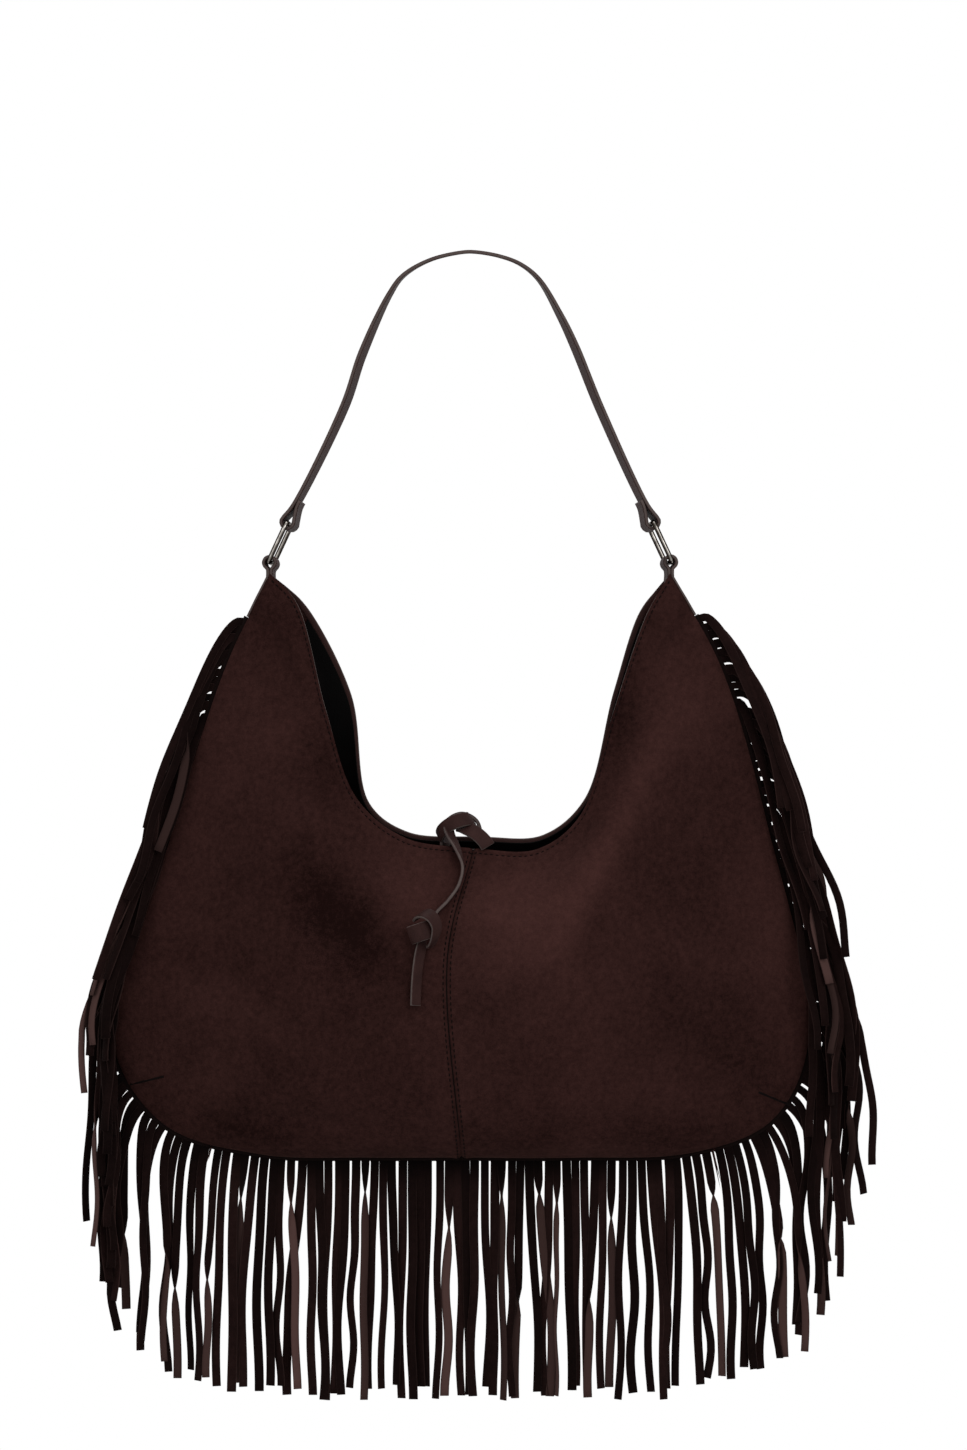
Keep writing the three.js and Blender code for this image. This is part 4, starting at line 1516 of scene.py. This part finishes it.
@dataclass
class Fringe:
    """The long suede strands, cut from a heading that is sewn into the outer seam."""

    workshop: Workshop
    pitch: float = 5.5 * MM
    width: float = 4.9 * MM
    thickness: float = 1.1 * MM
    length: float = 140 * MM
    splay: float = 0.17
    root: float = 2 * MM
    heading_inside: float = 5 * MM
    heading_outside: float = 3 * MM
    heading_thickness: float = 1.4 * MM
    steps: int = 30
    reverse_share: float = 0.24
    reverse_growth: float = 0.55
    stray_share: float = 0.16
    covered_from: float = 0.12
    cover_growth: float = 0.2
    # Painted shade: the heading under the panel's edge, the first stretch of each strand and the
    # strands hidden near the body are darkened.
    heading_shadow_tone: float = -0.5
    root_shade_tone: float = -0.4
    tone_bias: float = 1.5
    hidden_shade_tone: float = 0.4
    shaded_root: float = 22 * MM
    side_clump: float = 0.3
    side_stray: float = 0.4
    side_wave: float = 2.0
    side_turn: float = 1.4
    sway_growth: float = 1.3
    turn_start: float = 0.1
    turn_growth: float = 2.2
    root_crowding: float = 1.2
    look_ahead: float = 0.5 * MM
    heading_steps: int = 48
    clump_sizes: tuple[int, ...] = (1, 2, 2, 3, 3, 4)
    ranges: HangRanges = HangRanges()
    seed: int = 23

    def hang(self, order: int, side: SideShape, share: float, sideways: float, clump: float,
             draw: random.Random) -> StrandHang:
        """Draws how one strand hangs.

        Args:
            order: its number in the row.
            side: the side of the bag.
            share: how far along the seam it is.
            sideways: 1 where the seam faces sideways and 0 where it faces down.
            clump: how far it is drawn along the seam towards its neighbours.
            draw: the source of chance.

        Returns:
            The strand's hang.
        """
        ranges = self.ranges
        covered = smooth((share - self.covered_from) / self.cover_growth)
        near = draw.random() < side.fringe_near_share * covered
        front = -1.0 if near or order % 2 == 0 else 1.0
        hidden = near and sideways > 0.5
        side_reverse = side.fringe_reverse_share * smooth(share / self.reverse_growth)
        flips = draw.random() < lerp(self.reverse_share, side_reverse, sideways) and not hidden
        strays = draw.random() < self.stray_share
        stray = draw.uniform(*(ranges.far_stray if strays else ranges.usual_stray))
        outwards = draw.uniform(*ranges.swing_out) * sideways * (0.0 if near else 1.0)
        beside = lerp(draw.uniform(*ranges.free_reach),
                      draw.triangular(*ranges.covered_reach, ranges.covered_reach_mode), covered)
        beside = draw.uniform(*ranges.near_reach) if near else beside
        splay = self.splay * sideways * front
        return StrandHang(
            reach_share=lerp(1.0, beside, sideways),
            lean=splay * draw.uniform(*ranges.splay) + draw.uniform(*ranges.lean),
            drift=(clump * lerp(1.0, self.side_clump, sideways)
                   + stray * lerp(1.0, self.side_stray, sideways)),
            tuck=draw.uniform(*ranges.near_tuck) * sideways if near else -outwards,
            wave=draw.uniform(*ranges.wave) * lerp(1.0, self.side_wave, sideways),
            wave_phase=draw.uniform(*ranges.wave_phase),
            wave_length=draw.uniform(*ranges.wave_length),
            turn=draw.uniform(*ranges.turn) * lerp(1.0, self.side_turn, sideways),
            flip=draw.choice((-1.0, 1.0)) * math.pi * draw.uniform(*ranges.flip) * flips,
            flip_place=draw.uniform(*ranges.flip_place),
            flip_length=draw.uniform(*ranges.flip_length),
            length=self.length * lerp(draw.uniform(*ranges.bottom_length),
                                      draw.uniform(*ranges.side_length), sideways),
            width=self.width * draw.uniform(*ranges.width),
            root_spread=lerp(1.0, draw.uniform(*ranges.root_spread), sideways),
            # Roots get painted shade; strands hidden near the body get painted shade along their whole
            # length.
            root_shade_tone=lerp(self.root_shade_tone, draw.uniform(*ranges.root_shade_tone), sideways),
            tone=draw.random() ** self.tone_bias * (self.hidden_shade_tone if hidden else 1.0),
        )

    def path(self, half: HalfPanel, distance: float, hang: StrandHang) -> Callable[[float], Vector]:
        """Gives the path of one strand: out of the seam, then down beside the bag.

        Args:
            half: the half whose seam carries it.
            distance: how far along the seam its root is.
            hang: how it hangs.

        Returns:
            A function from the travel along the strand to its place.
        """
        side = half.side
        share = distance / half.seam.length
        root = half.seam.at(share)
        normal = half.seam_normal(share)
        widest = side_point(side, side.widest).z
        start_out = self.heading_outside - self.root
        full = min(1.0, share / side.fringe_full_share)
        reach = lerp(side.fringe_top_reach, side.fringe_full_reach, full) * hang.reach_share
        follows_side = root.z >= widest

        def place(travel: float) -> Vector:
            """Gives the place of the strand's middle after a travel from its root."""
            out = reach * (1.0 - math.exp(-travel / reach))
            z = root.z + normal.z * (start_out + out) - (travel - out)
            beside = root.x
            if follows_side and z < root.z:
                beside = half.seam_at_height(max(z, widest)).x
            x = beside + normal.x * (start_out + out)
            wave = hang.wave * math.sin(hang.wave_phase + travel / hang.wave_length)
            sway = hang.drift + wave - side.sign * hang.tuck
            x += sway * smooth(travel / self.length * self.sway_growth)
            return Vector((x, hang.lean * travel, z))

        return place

    def add_strand(self, mesh: bmesh.types.BMesh, half: HalfPanel, distance: float,
                   hang: StrandHang) -> None:
        """Adds one strand.

        Args:
            mesh: the mesh that takes it.
            half: the half whose seam carries it.
            distance: how far along the seam its root is.
            hang: how it hangs.
        """
        path = self.path(half, distance, hang)
        stations = []
        tones = []
        for step in range(self.steps + 1):
            share = (step / self.steps) ** self.root_crowding
            travel = hang.length * share
            behind = path(max(0.0, travel - self.look_ahead))
            along = (path(travel + self.look_ahead) - behind).normalized()
            aside = flat_point(along.z, -along.x).normalized()
            facing = aside.cross(along)
            flipped = smooth((share - hang.flip_place) / hang.flip_length + 0.5)
            turned = smooth((share - self.turn_start) * self.turn_growth)
            turn = hang.turn * turned + hang.flip * flipped
            widthways = aside * math.cos(turn) + facing * math.sin(turn)
            spread = lerp(hang.root_spread, 1.0, smooth(travel / self.shaded_root))
            stations.append(Station(path(travel), widthways, widthways.cross(along), spread))
            # Painted shade darkens the strand towards its root.
            tones.append(lerp(hang.root_shade_tone, hang.tone, smooth(travel / self.shaded_root)))
        section = BandSection(hang.width, self.thickness, edge_steps=3, face_steps=2)
        add_band(mesh, stations, section, tones=tones)

    def add_heading(self, mesh: bmesh.types.BMesh, half: HalfPanel, start: float, end: float) -> None:
        """Adds the heading strip along a stretch of the seam, darkened as painted shadow under the
        panel's edge.

        Args:
            mesh: the mesh that takes it.
            half: the half whose seam carries it.
            start: where the stretch begins along the seam.
            end: where it ends.
        """
        steps = self.heading_steps
        middle = (self.heading_outside - self.heading_inside) / 2
        stations = []
        for step in range(steps + 1):
            share = lerp(start, end, step / steps) / half.seam.length
            normal = half.seam_normal(share)
            stations.append(Station(half.seam.at(share) + normal * middle, normal, DEPTHWAYS.copy()))
        width = self.heading_inside + self.heading_outside
        section = BandSection(width, self.heading_thickness, edge_steps=3, face_steps=2)
        # Painted shadow: the heading is darkened to read as the shade under the panel's edge.
        add_band(mesh, stations, section, tones=(self.heading_shadow_tone,))

    def add_row(self, mesh: bmesh.types.BMesh, half: HalfPanel, start: float, end: float,
                draw: random.Random) -> None:
        """Adds the heading and strands of a stretch of the seam, laid out from its end.

        Args:
            mesh: the mesh that takes them.
            half: the half whose seam carries them.
            start: where the stretch begins along the seam.
            end: where it ends.
            draw: the source of the strands' shapes.
        """
        self.add_heading(mesh, half, start, end)
        count = int((end - start) / self.pitch)
        order = 0
        ranges = self.ranges
        while order < count:
            size = min(draw.choice(self.clump_sizes), count - order)
            shift = draw.uniform(*ranges.clump_shift)
            for member in range(size):
                from_middle = (member - (size - 1) / 2) * self.pitch * half.side.sign
                clump = from_middle * draw.uniform(*ranges.clump_draw) + shift
                distance = end - (order + 0.5 + draw.uniform(*ranges.root_shift)) * self.pitch
                share = distance / half.seam.length
                sideways = abs(half.seam_normal(share).x)
                hang = self.hang(order, half.side, share, sideways, clump, draw)
                self.add_strand(mesh, half, distance, hang)
                order += 1

    def build(self) -> dict[str, list[bpy.types.Object]]:
        """Makes the left, right and bottom fringe.

        Returns:
            The fringe that hangs from each front half, by the half's node.
        """
        draw = random.Random(self.seed)
        start = BINDING_LENGTH + GAP
        sides = []
        for name, half in (("fringe_left", FRONT_LEFT), ("fringe_right", FRONT_RIGHT)):
            mesh = new_mesh()
            self.add_row(mesh, half, start, half.seam.length * CORNER_SHARE - GAP / 2, draw)
            sides.append(self.workshop.piece(f"{name}_strands", mesh, "fringe_suede", [name]))
        mesh = new_mesh()
        for half in (FRONT_LEFT, FRONT_RIGHT):
            self.add_row(mesh, half, half.seam.length * CORNER_SHARE + GAP / 2, half.seam.length, draw)
        bottom = self.workshop.piece("fringe_bottom_strands", mesh, "fringe_suede", ["fringe_bottom"])
        return {"front_panel_left": [sides[0], bottom], "front_panel_right": [sides[1]]}


@dataclass
class StrapAndRings:
    """The shoulder strap, its two rings, and the tabs and bindings at the tips of the bag."""

    workshop: Workshop
    strap: BandSection = BandSection(16 * MM, 2.2 * MM, edge_steps=7, face_steps=6, rounding=0.75)
    crown_flat: float = 8 * MM
    left_route: tuple[Place, ...] = ((-75 * MM, -91 * MM), (-64.5 * MM, -60 * MM),
                                     (-48 * MM, -24 * MM), (-40 * MM, -13 * MM), (-24 * MM, -3.6 * MM))
    right_route: tuple[Place, ...] = ((18 * MM, -1.4 * MM), (30 * MM, -6 * MM), (41 * MM, -15 * MM),
                                      (54 * MM, -37 * MM), (63 * MM, -56 * MM), (78 * MM, -93 * MM))
    strap_steps: int = 320
    twist: float = 0.2
    twist_start: float = 0.1
    twist_growth: float = 3.0
    crown_roll: float = 0.105
    crown_share: float = 0.5
    loop_turn: float = 0.07
    loop_turn_start: float = 0.5
    loop_arc: tuple[float, ...] = (0.33, 0.5, 0.75, 1.0, 1.25, 1.5, 1.67)
    neck: float = 10.5 * MM
    tail: float = 4 * MM
    wire: float = 3 * MM
    ring_side_play: float = 2.5 * MM
    ring_corner: float = 4 * MM
    corner_steps: int = 12
    ring_play: float = 1.2 * MM
    tab_play: float = 0.9 * MM
    tab: BandSection = BandSection(12 * MM, 2.1 * MM, edge_steps=7, face_steps=6, rounding=0.75)
    tab_neck: float = 4.2 * MM
    tab_leg: float = 8 * MM
    tab_steps: int = 90
    seat: float = 0.5 * MM
    loose_seat: float = 0.8 * MM
    binding_start: float = 3 * MM
    binding_thickness: float = 1.3 * MM
    binding_steps: int = 16

    def loop(self, pivot: Vector, leg: Vector, aside: Vector, thickness: float, neck: float,
             play: float, seat: float) -> list[Vector]:
        """Gives the points of a loop round a ring's bar.

        Args:
            pivot: the middle of the bar.
            leg: the direction of the loop's legs.
            aside: the direction of the first leg from the second.
            thickness: the leather's thickness.
            neck: where the legs meet, along leg.
            play: the room round the bar.
            seat: the gap at which the bar bears on the loop.

        Returns:
            The points, from the first leg to the second.
        """
        radius = self.wire / 2 + play + thickness / 2
        spacing = thickness + GAP

        def at(along: float, away: float) -> Vector:
            """Gives a point along the legs and away from their middle."""
            return pivot + leg * (along + play - seat) + aside * away

        turns = (share * math.pi for share in self.loop_arc)
        arc = [at(math.cos(angle) * radius, math.sin(angle) * radius) for angle in turns]
        return [at(neck, spacing / 2), *arc, at(neck, -spacing / 2)]

    def loop_yaw(self, side: SideShape) -> float:
        """Gives how far a side's leather loops are turned from straight back."""
        return side.ring_yaw + math.copysign(self.loop_turn, side.ring_yaw)

    def build_strap(self) -> None:
        """Makes the strap with its folded ends."""
        crown = [flat_point(sign * self.crown_flat / 2, self.strap.thickness / 2) for sign in (-1, 1)]
        legs = []
        for side, route, knee in ((LEFT, self.left_route, 0), (RIGHT, self.right_route, -1)):
            pivot = strap_pivot(side)
            leg = (flat_point(*route[knee]) - pivot).normalized()
            aside = DEPTHWAYS.cross(leg) * side.sign
            loop = self.loop(pivot, leg, aside, self.strap.thickness, self.neck, self.ring_play,
                             self.seat)
            legs.append([*loop, loop[-1] + leg * self.tail])
        left_leg, right_leg = legs
        left = [flat_point(*place) for place in self.left_route]
        right = [flat_point(*place) for place in self.right_route]
        route = Route([*reversed(left_leg), *left, *crown, *right, *right_leg])
        loop_share = Route(left_leg).length / (route.length / 2)

        def widthways(share: float) -> Vector:
            """Gives the direction of the strap's width at a share of its length."""
            side = LEFT if share < 0.5 else RIGHT
            from_crown = abs(share - 0.5) * 2
            twist = math.copysign(self.twist, side.ring_yaw)
            twist *= smooth((from_crown - self.twist_start) * self.twist_growth)
            turn_length = 1.0 - self.loop_turn_start - loop_share
            turn = smooth((from_crown - self.loop_turn_start) / turn_length)
            roll = self.crown_roll * (1.0 - smooth(from_crown / self.crown_share))
            return bar_direction(side, lerp(twist, self.loop_yaw(side), turn)) + UP * roll

        mesh = new_mesh()
        add_band(mesh, stations_along(route, self.strap_steps, widthways), self.strap)
        self.workshop.piece("strap_leather", mesh, "trim_leather", ["strap"], Body.STRAP)

    def build_ring(self, name: str, side: SideShape, body: Body) -> None:
        """Makes one bent wire ring.

        Args:
            name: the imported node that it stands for.
            side: the side of the bag.
            body: the body that it rides on.
        """
        half_width = self.strap.width / 2 + self.ring_side_play + self.wire / 2
        half_reach = RING_REACH / 2
        middle = (strap_pivot(side) + tab_pivot(side)) / 2
        bars = bar_direction(side, side.ring_yaw)
        length = ring_axis(side)
        facing = bars.cross(length)
        stations = []
        for quarter, (across, along) in enumerate(((1, 1), (-1, 1), (-1, -1), (1, -1))):
            for step in range(self.corner_steps + 1):
                angle = (quarter + step / self.corner_steps) * math.pi / 2
                outwards = bars * math.cos(angle) + length * math.sin(angle)
                centre = bars * across * (half_width - self.ring_corner)
                centre += length * along * (half_reach - self.ring_corner)
                point = middle + centre + outwards * self.ring_corner
                stations.append(Station(point, outwards, facing))
        mesh = new_mesh()
        section = BandSection(self.wire, self.wire, edge_steps=9, face_steps=1, rounding=1.0)
        add_band(mesh, stations, section, closed=True)
        self.workshop.piece(f"{name}_wire", mesh, "ring_metal", [name], body)

    def build_tip(self, name: str, half: HalfPanel, seat: float) -> None:
        """Makes the tab and the binding of one tip.

        Args:
            name: left or right.
            half: the front half of that side.
            seat: the gap at which the ring bears on the tab.
        """
        side = half.side
        loop = self.loop(tab_pivot(side), -UP, flat_point(side.sign, 0.0), self.tab.thickness,
                         self.tab_neck, self.tab_play, seat)
        route = Route([loop[0] - UP * self.tab_leg, *loop, loop[-1] - UP * self.tab_leg])
        bars = bar_direction(side, self.loop_yaw(side))
        mesh = new_mesh()
        add_band(mesh, stations_along(route, self.tab_steps, lambda share: bars), self.tab)
        self.workshop.piece(f"ring_tab_{name}_leather", mesh, "trim_leather", [f"ring_tab_{name}"])
        steps = self.binding_steps
        stations = []
        for step in range(steps + 1):
            distance = lerp(self.binding_start, BINDING_LENGTH, step / steps)
            share = distance / half.seam.length
            normal = half.seam_normal(share)
            depth = half.edge_depth + PANEL_THICKNESS / 2 + half.tip_swell(distance)
            middle = half.seam.at(share) + normal * (GAP + self.binding_thickness / 2)
            spread = 2 * depth / self.tab.width
            stations.append(Station(middle, DEPTHWAYS.copy(), normal, spread))
        mesh = new_mesh()
        section = BandSection(self.tab.width, self.binding_thickness, edge_steps=7, face_steps=5,
                              rounding=0.75)
        add_band(mesh, stations, section)
        self.workshop.piece(f"tip_binding_{name}_leather", mesh, "trim_leather",
                            [f"tip_binding_{name}"])

    def build(self) -> None:
        """Makes the strap, rings, tabs and bindings."""
        self.build_strap()
        self.build_ring("ring_left", LEFT, Body.RING_LEFT)
        self.build_ring("ring_right", RIGHT, Body.RING_RIGHT)
        self.build_tip("left", FRONT_LEFT, self.seat)
        self.build_tip("right", FRONT_RIGHT, self.loose_seat)


@dataclass
class MouthTie:
    """The leather thongs that are knotted over the mouth, with one long hanging tail."""

    workshop: Workshop
    thong: BandSection = BandSection(7 * MM, 2.2 * MM, edge_steps=7, face_steps=5, rounding=0.8)
    broad: BandSection = BandSection(9.2 * MM, 2.0 * MM, edge_steps=7, face_steps=6, rounding=0.8)
    lift: float = 0.9 * MM
    beside_seam: float = 0.95
    least_drop: float = 0.01
    knot_place: Place = (-27.8, -45.6)
    knot_share: Place = (0.912, 0.3)
    knot_depth: float = 12 * MM
    level_width: float = 1.18
    slant_widths: Span = (0.95, 0.42)
    slant_start: float = 0.3
    slant_growth: float = 1.6
    tail_steps: int = 150
    tail_turn: float = 0.85
    tail_turn_length: float = 0.3
    tip_turn: float = 0.95
    tip_turn_start: float = 0.55
    tip_turn_length: float = 0.2
    path_steps: int = 30
    arch_steps: int = 90
    wrap_steps: int = 60
    short_steps: int = 40
    level_steps: int = 40
    slant_steps: int = 60

    @staticmethod
    def near_mouth(x: float, y: float, z: float) -> Vector:
        """Gives a point in millimetres from the middle of the front mouth edge."""
        mouth = side_point(RIGHT, FRONT_MOUTH.centre)
        return Vector((mouth.x + x * MM, y * MM, mouth.z + z * MM))

    def on_front(self, u: float, v: float) -> Vector:
        """Gives a point at which a thong on edge lies against the front.

        Args:
            u: share of the way from the outer seam to the centre seam.
            v: share of the way from the mouth to the base.

        Returns:
            The middle of the thong.
        """
        point = FRONT_LEFT.at(u, v)
        point.y -= PANEL_THICKNESS / 2 + self.lift + self.thong.width / 2
        return point

    def lying(self, x: float, z: float) -> Vector:
        """Gives a point at which a thong on edge lies on the front.

        Args:
            x: millimetres to the right from the middle of the mouth edge.
            z: millimetres up from there.

        Returns:
            The middle of the thong.
        """
        point = self.near_mouth(x, 0.0, z)
        drop = max(self.least_drop, -z * MM / FRONT_LEFT.centre.length)
        point.y = self.on_front(self.beside_seam, drop).y
        return point

    def knot_middle(self) -> Vector:
        """Gives the middle of the knot near the tail's end.

        Returns:
            The point.
        """
        middle = self.lying(*self.knot_place)
        middle.y = self.on_front(*self.knot_share).y - (self.knot_depth - self.thong.width) / 2
        return middle

    def add_facing_band(self, mesh: bmesh.types.BMesh, points: Sequence[Vector], steps: int,
                        facing_at: Callable[[Vector], Vector],
                        spread_at: Callable[[float], float] = lambda share: 1.0) -> None:
        """Adds a thong whose broad face looks in a given direction.

        Args:
            mesh: the mesh that takes it.
            points: places along the thong.
            steps: stations along it.
            facing_at: gives the direction that its face looks in at a point.
            spread_at: gives its share of the full width along its length.
        """
        route = Route(points)

        def widthways(share: float) -> Vector:
            """Gives the direction of the thong's width at a share of its length."""
            return route.tangent(share).cross(facing_at(route.at(share))).normalized()

        stations = stations_along(route, steps, widthways)
        for step, station in enumerate(stations):
            station.spread = spread_at(step / steps)
        add_band(mesh, stations, self.broad)

    def build_mouth_knot(self) -> None:
        """Makes the arch over the mouth, the turn that wraps it and the short cut end."""
        near = self.near_mouth
        arch = [near(4, 2, -16), near(5, 2, 4), near(2, 1, 17), near(-7, 0, 21.5),
                near(-16, -1, 17), near(-19, -1, 6), near(-17, -1, -14)]
        mesh = new_mesh()
        stations = stations_along(Route(arch), self.arch_steps, lambda share: DEPTHWAYS)
        add_band(mesh, stations, self.thong)
        middle = near(-10, -1, 12)
        wrap = [near(-1.5, 3, 17), near(-2, -4.5, 18.6), near(-6, -8.5, 18), near(-11, -9.6, 16.6),
                near(-16, -8.6, 13.8), near(-19.6, -5, 10), near(-19.8, 0, 6.5), near(-15.5, 3.5, 5)]
        self.add_facing_band(mesh, wrap, self.wrap_steps, lambda point: point - middle)
        self.workshop.piece("tie_back_thong_leather", mesh, "trim_leather", ["tie_back_thong"])
        short = [near(-7, -3, 13.5), near(-4, -8, 12.8), near(0, -11, 11), near(4, -13, 8),
                 near(7.2, -14, 4.6), near(8.8, -14.2, 2)]
        mesh = new_mesh()
        facing = Vector((0.2, -0.9, 0.35))
        self.add_facing_band(mesh, short, self.short_steps, lambda point: facing)
        self.workshop.piece("tie_front_thong_leather", mesh, "trim_leather", ["tie_front_thong"])

    def build_tail(self) -> None:
        near = self.near_mouth
        knot = self.knot_middle()
        run = ((-9.8, 1.5), (-6.4, -8.7), (-8.5, -19.8), (-15, -29.3))
        into_knot = ((-21.5, -36), (-28, -46))
        tip = ((-30.6, -56), (-32.4, -66), (-33.5, -78), (-34, -90.5))
        points = [near(-15.3, -5, 14), near(-13.5, -12, 8.5),
                  *(self.lying(*place) for place in (*run, *into_knot, *tip))]
        route = Route(points)

        def widthways(share: float) -> Vector:
            """Gives the direction of the tail's width at a share of its length."""
            turn = self.tail_turn * (1.0 - smooth(share / self.tail_turn_length))
            turn += self.tip_turn * smooth((share - self.tip_turn_start) / self.tip_turn_length)
            return Vector((math.sin(turn), math.cos(turn), 0.0))

        mesh = new_mesh()
        add_band(mesh, stations_along(route, self.tail_steps, widthways), self.thong)
        tail = self.workshop.piece("tie_tail_leather", mesh, "trim_leather",
                                   ["tie_tail", "tie_tail_tip"])
        turns = new_mesh()
        self.add_end_knot(turns, knot)
        end_knot = self.workshop.piece("tie_end_knot_turns", turns, "trim_leather", ["tie_end_knot"])
        steps = self.path_steps
        tuple(points[0])
        [tuple(route.at(i / steps)) for i in range(steps + 1)]

    def add_end_knot(self, mesh: bmesh.types.BMesh, knot: Vector) -> None:
        """Adds the two turns that show of the knot near the tail's end.

        Args:
            mesh: the mesh that takes them.
            knot: the knot's middle.
        """
        def beside(x: float, y: float, z: float) -> Vector:
            """Gives a point, in millimetres from the mouth edge, and in depth from the knot."""
            point = self.near_mouth(x, 0.0, z)
            point.y = knot.y + y * MM
            return point

        level = [beside(-23, -1, -45), beside(-25.5, -4.6, -45.4), beside(-30, -5.6, -46.8),
                 beside(-34.6, -4.2, -48.4), beside(-37, -0.6, -49.4), beside(-35.6, 3, -49.2),
                 beside(-30, 4.5, -47.4)]
        heart = beside(-30, 0.5, -47)
        self.add_facing_band(mesh, level, self.level_steps, lambda point: point - heart,
                             lambda share: self.level_width)
        slanting = [beside(-32.5, 3, -39), beside(-30.4, -2, -36.6), beside(-27, -5.8, -36.4),
                    beside(-23.4, -7.4, -39), beside(-21.4, -7.4, -44), beside(-22.4, -6.2, -50),
                    beside(-24.6, -2.6, -55), beside(-26, 2, -56)]
        middle = beside(-27, 1.5, -45.5)

        def narrowed(share: float) -> float:
            """Gives the slanting turn's share of the full width along its length."""
            return lerp(*self.slant_widths, smooth((share - self.slant_start) * self.slant_growth))

        self.add_facing_band(mesh, slanting, self.slant_steps, lambda point: point - middle, narrowed)

    def build(self) -> None:
        """Makes the knot over the mouth and the hanging tail."""
        self.build_tail()
        self.build_mouth_knot()


@dataclass(frozen=True)
class Lamp:
    """A large soft lamp: where it stands, its width in metres and its power in watts."""

    name: str
    place: tuple[float, float, float]
    size: float
    power: float


@dataclass
class Studio:
    """The camera, the soft lights, the white surroundings and the pale floor."""

    camera_distance: float = 2.6
    aim: Vector = field(default_factory=lambda: Vector((0.0081, 0.0, -0.2826)))
    frame_height: float = 0.87
    sensor: float = 36.0
    floor_height: float = -1.05
    floor_radius: float = 0.8
    sky_high: float = 0.75
    sky_low: float = 0.2
    lamps: tuple[Lamp, ...] = (
        Lamp("key_lamp", (0.9, -1.9, 0.75), 1.3, 20.0),
        Lamp("fill_lamp", (-1.3, -1.8, 0.1), 1.4, 9.0),
        Lamp("top_lamp", (0.0, 0.5, 1.5), 1.0, 8.0),
    )

    def build_camera(self) -> None:
        """Places the camera straight in front of the bag."""
        data = bpy.data.cameras.new("camera")
        data.sensor_fit = "VERTICAL"
        data.sensor_height = self.sensor
        data.lens = self.sensor * self.camera_distance / self.frame_height
        camera = bpy.data.objects.new("camera", data)
        camera.location = self.aim - DEPTHWAYS * self.camera_distance
        camera.rotation_euler = (math.pi / 2, 0.0, 0.0)
        bpy.context.scene.collection.objects.link(camera)
        bpy.context.scene.camera = camera

    def add_light(self, lamp: Lamp) -> None:
        """Places a lamp that faces the bag.

        Args:
            lamp: the lamp.
        """
        place = Vector(lamp.place)
        data = bpy.data.lights.new(lamp.name, "AREA")
        data.size = lamp.size
        data.energy = lamp.power
        light = bpy.data.objects.new(lamp.name, data)
        light.location = place
        light.rotation_euler = (place - self.aim).to_track_quat("Z", "Y").to_euler()
        bpy.context.scene.collection.objects.link(light)

    def build_surroundings(self) -> None:
        """Makes the surroundings white where they are seen, and soft as light."""
        world = bpy.data.worlds.new("surroundings")
        bpy.context.scene.world = world
        world.use_nodes = True
        wiring = Wiring(world.node_tree)
        path = wiring.add("ShaderNodeLightPath").outputs
        seen = wiring.math("MAXIMUM", path["Is Camera Ray"], path["Is Transmission Ray"])
        seen = wiring.math("MAXIMUM", seen, path["Is Glossy Ray"])
        direction = wiring.add("ShaderNodeTexCoord").outputs["Generated"]
        height = wiring.add("ShaderNodeSeparateXYZ", {0: direction}).outputs["Z"]
        levels = {"Value": height, "From Min": -1.0, "To Min": self.sky_low, "To Max": self.sky_high}
        light = wiring.add("ShaderNodeMapRange", levels).outputs[0]
        strength = wiring.math("MAXIMUM", seen, light)
        sky = wiring.add("ShaderNodeBackground", {"Color": rgb(1.0, 1.0, 1.0), "Strength": strength})
        wiring.add("ShaderNodeOutputWorld", {"Surface": sky.outputs[0]})

    def build_floor(self) -> None:
        """Lays a pale floor well below the hanging bag."""
        mesh = bmesh.new()
        bmesh.ops.create_circle(mesh, cap_ends=True, segments=64, radius=self.floor_radius,
                                matrix=Matrix.Translation((0.0, 0.0, self.floor_height)))
        data = bpy.data.meshes.new("floor")
        mesh.to_mesh(data)
        mesh.free()
        draft = MaterialDraft("floor_pale", roughness=0.8)
        place = draft.wiring.add("ShaderNodeTexCoord").outputs["Object"]
        cloud = draft.wiring.noise(place, scale=3.0, detail=3.0)
        draft.wire(base_color=draft.wiring.mix(cloud, rgb(0.86, 0.86, 0.86), rgb(0.9, 0.9, 0.9)))
        data.materials.append(draft.material)
        floor = bpy.data.objects.new("floor", data)
        bpy.context.scene.collection.objects.link(floor)

    def build(self) -> None:
        """Sets up the studio."""
        self.build_camera()
        for lamp in self.lamps:
            self.add_light(lamp)
        self.build_surroundings()
        self.build_floor()
        bpy.context.scene.view_settings.view_transform = "Standard"


def main() -> None:
    """Builds the studio and every part of the bag."""
    logging.basicConfig(level=logging.INFO)
    Studio().build()
    workshop = Workshop(Finishes())
    MouthTie(workshop).build()
    SuedeBody(workshop, Fringe(workshop).build()).build()
    StrapAndRings(workshop).build()


if __name__ == "__main__":
    main()
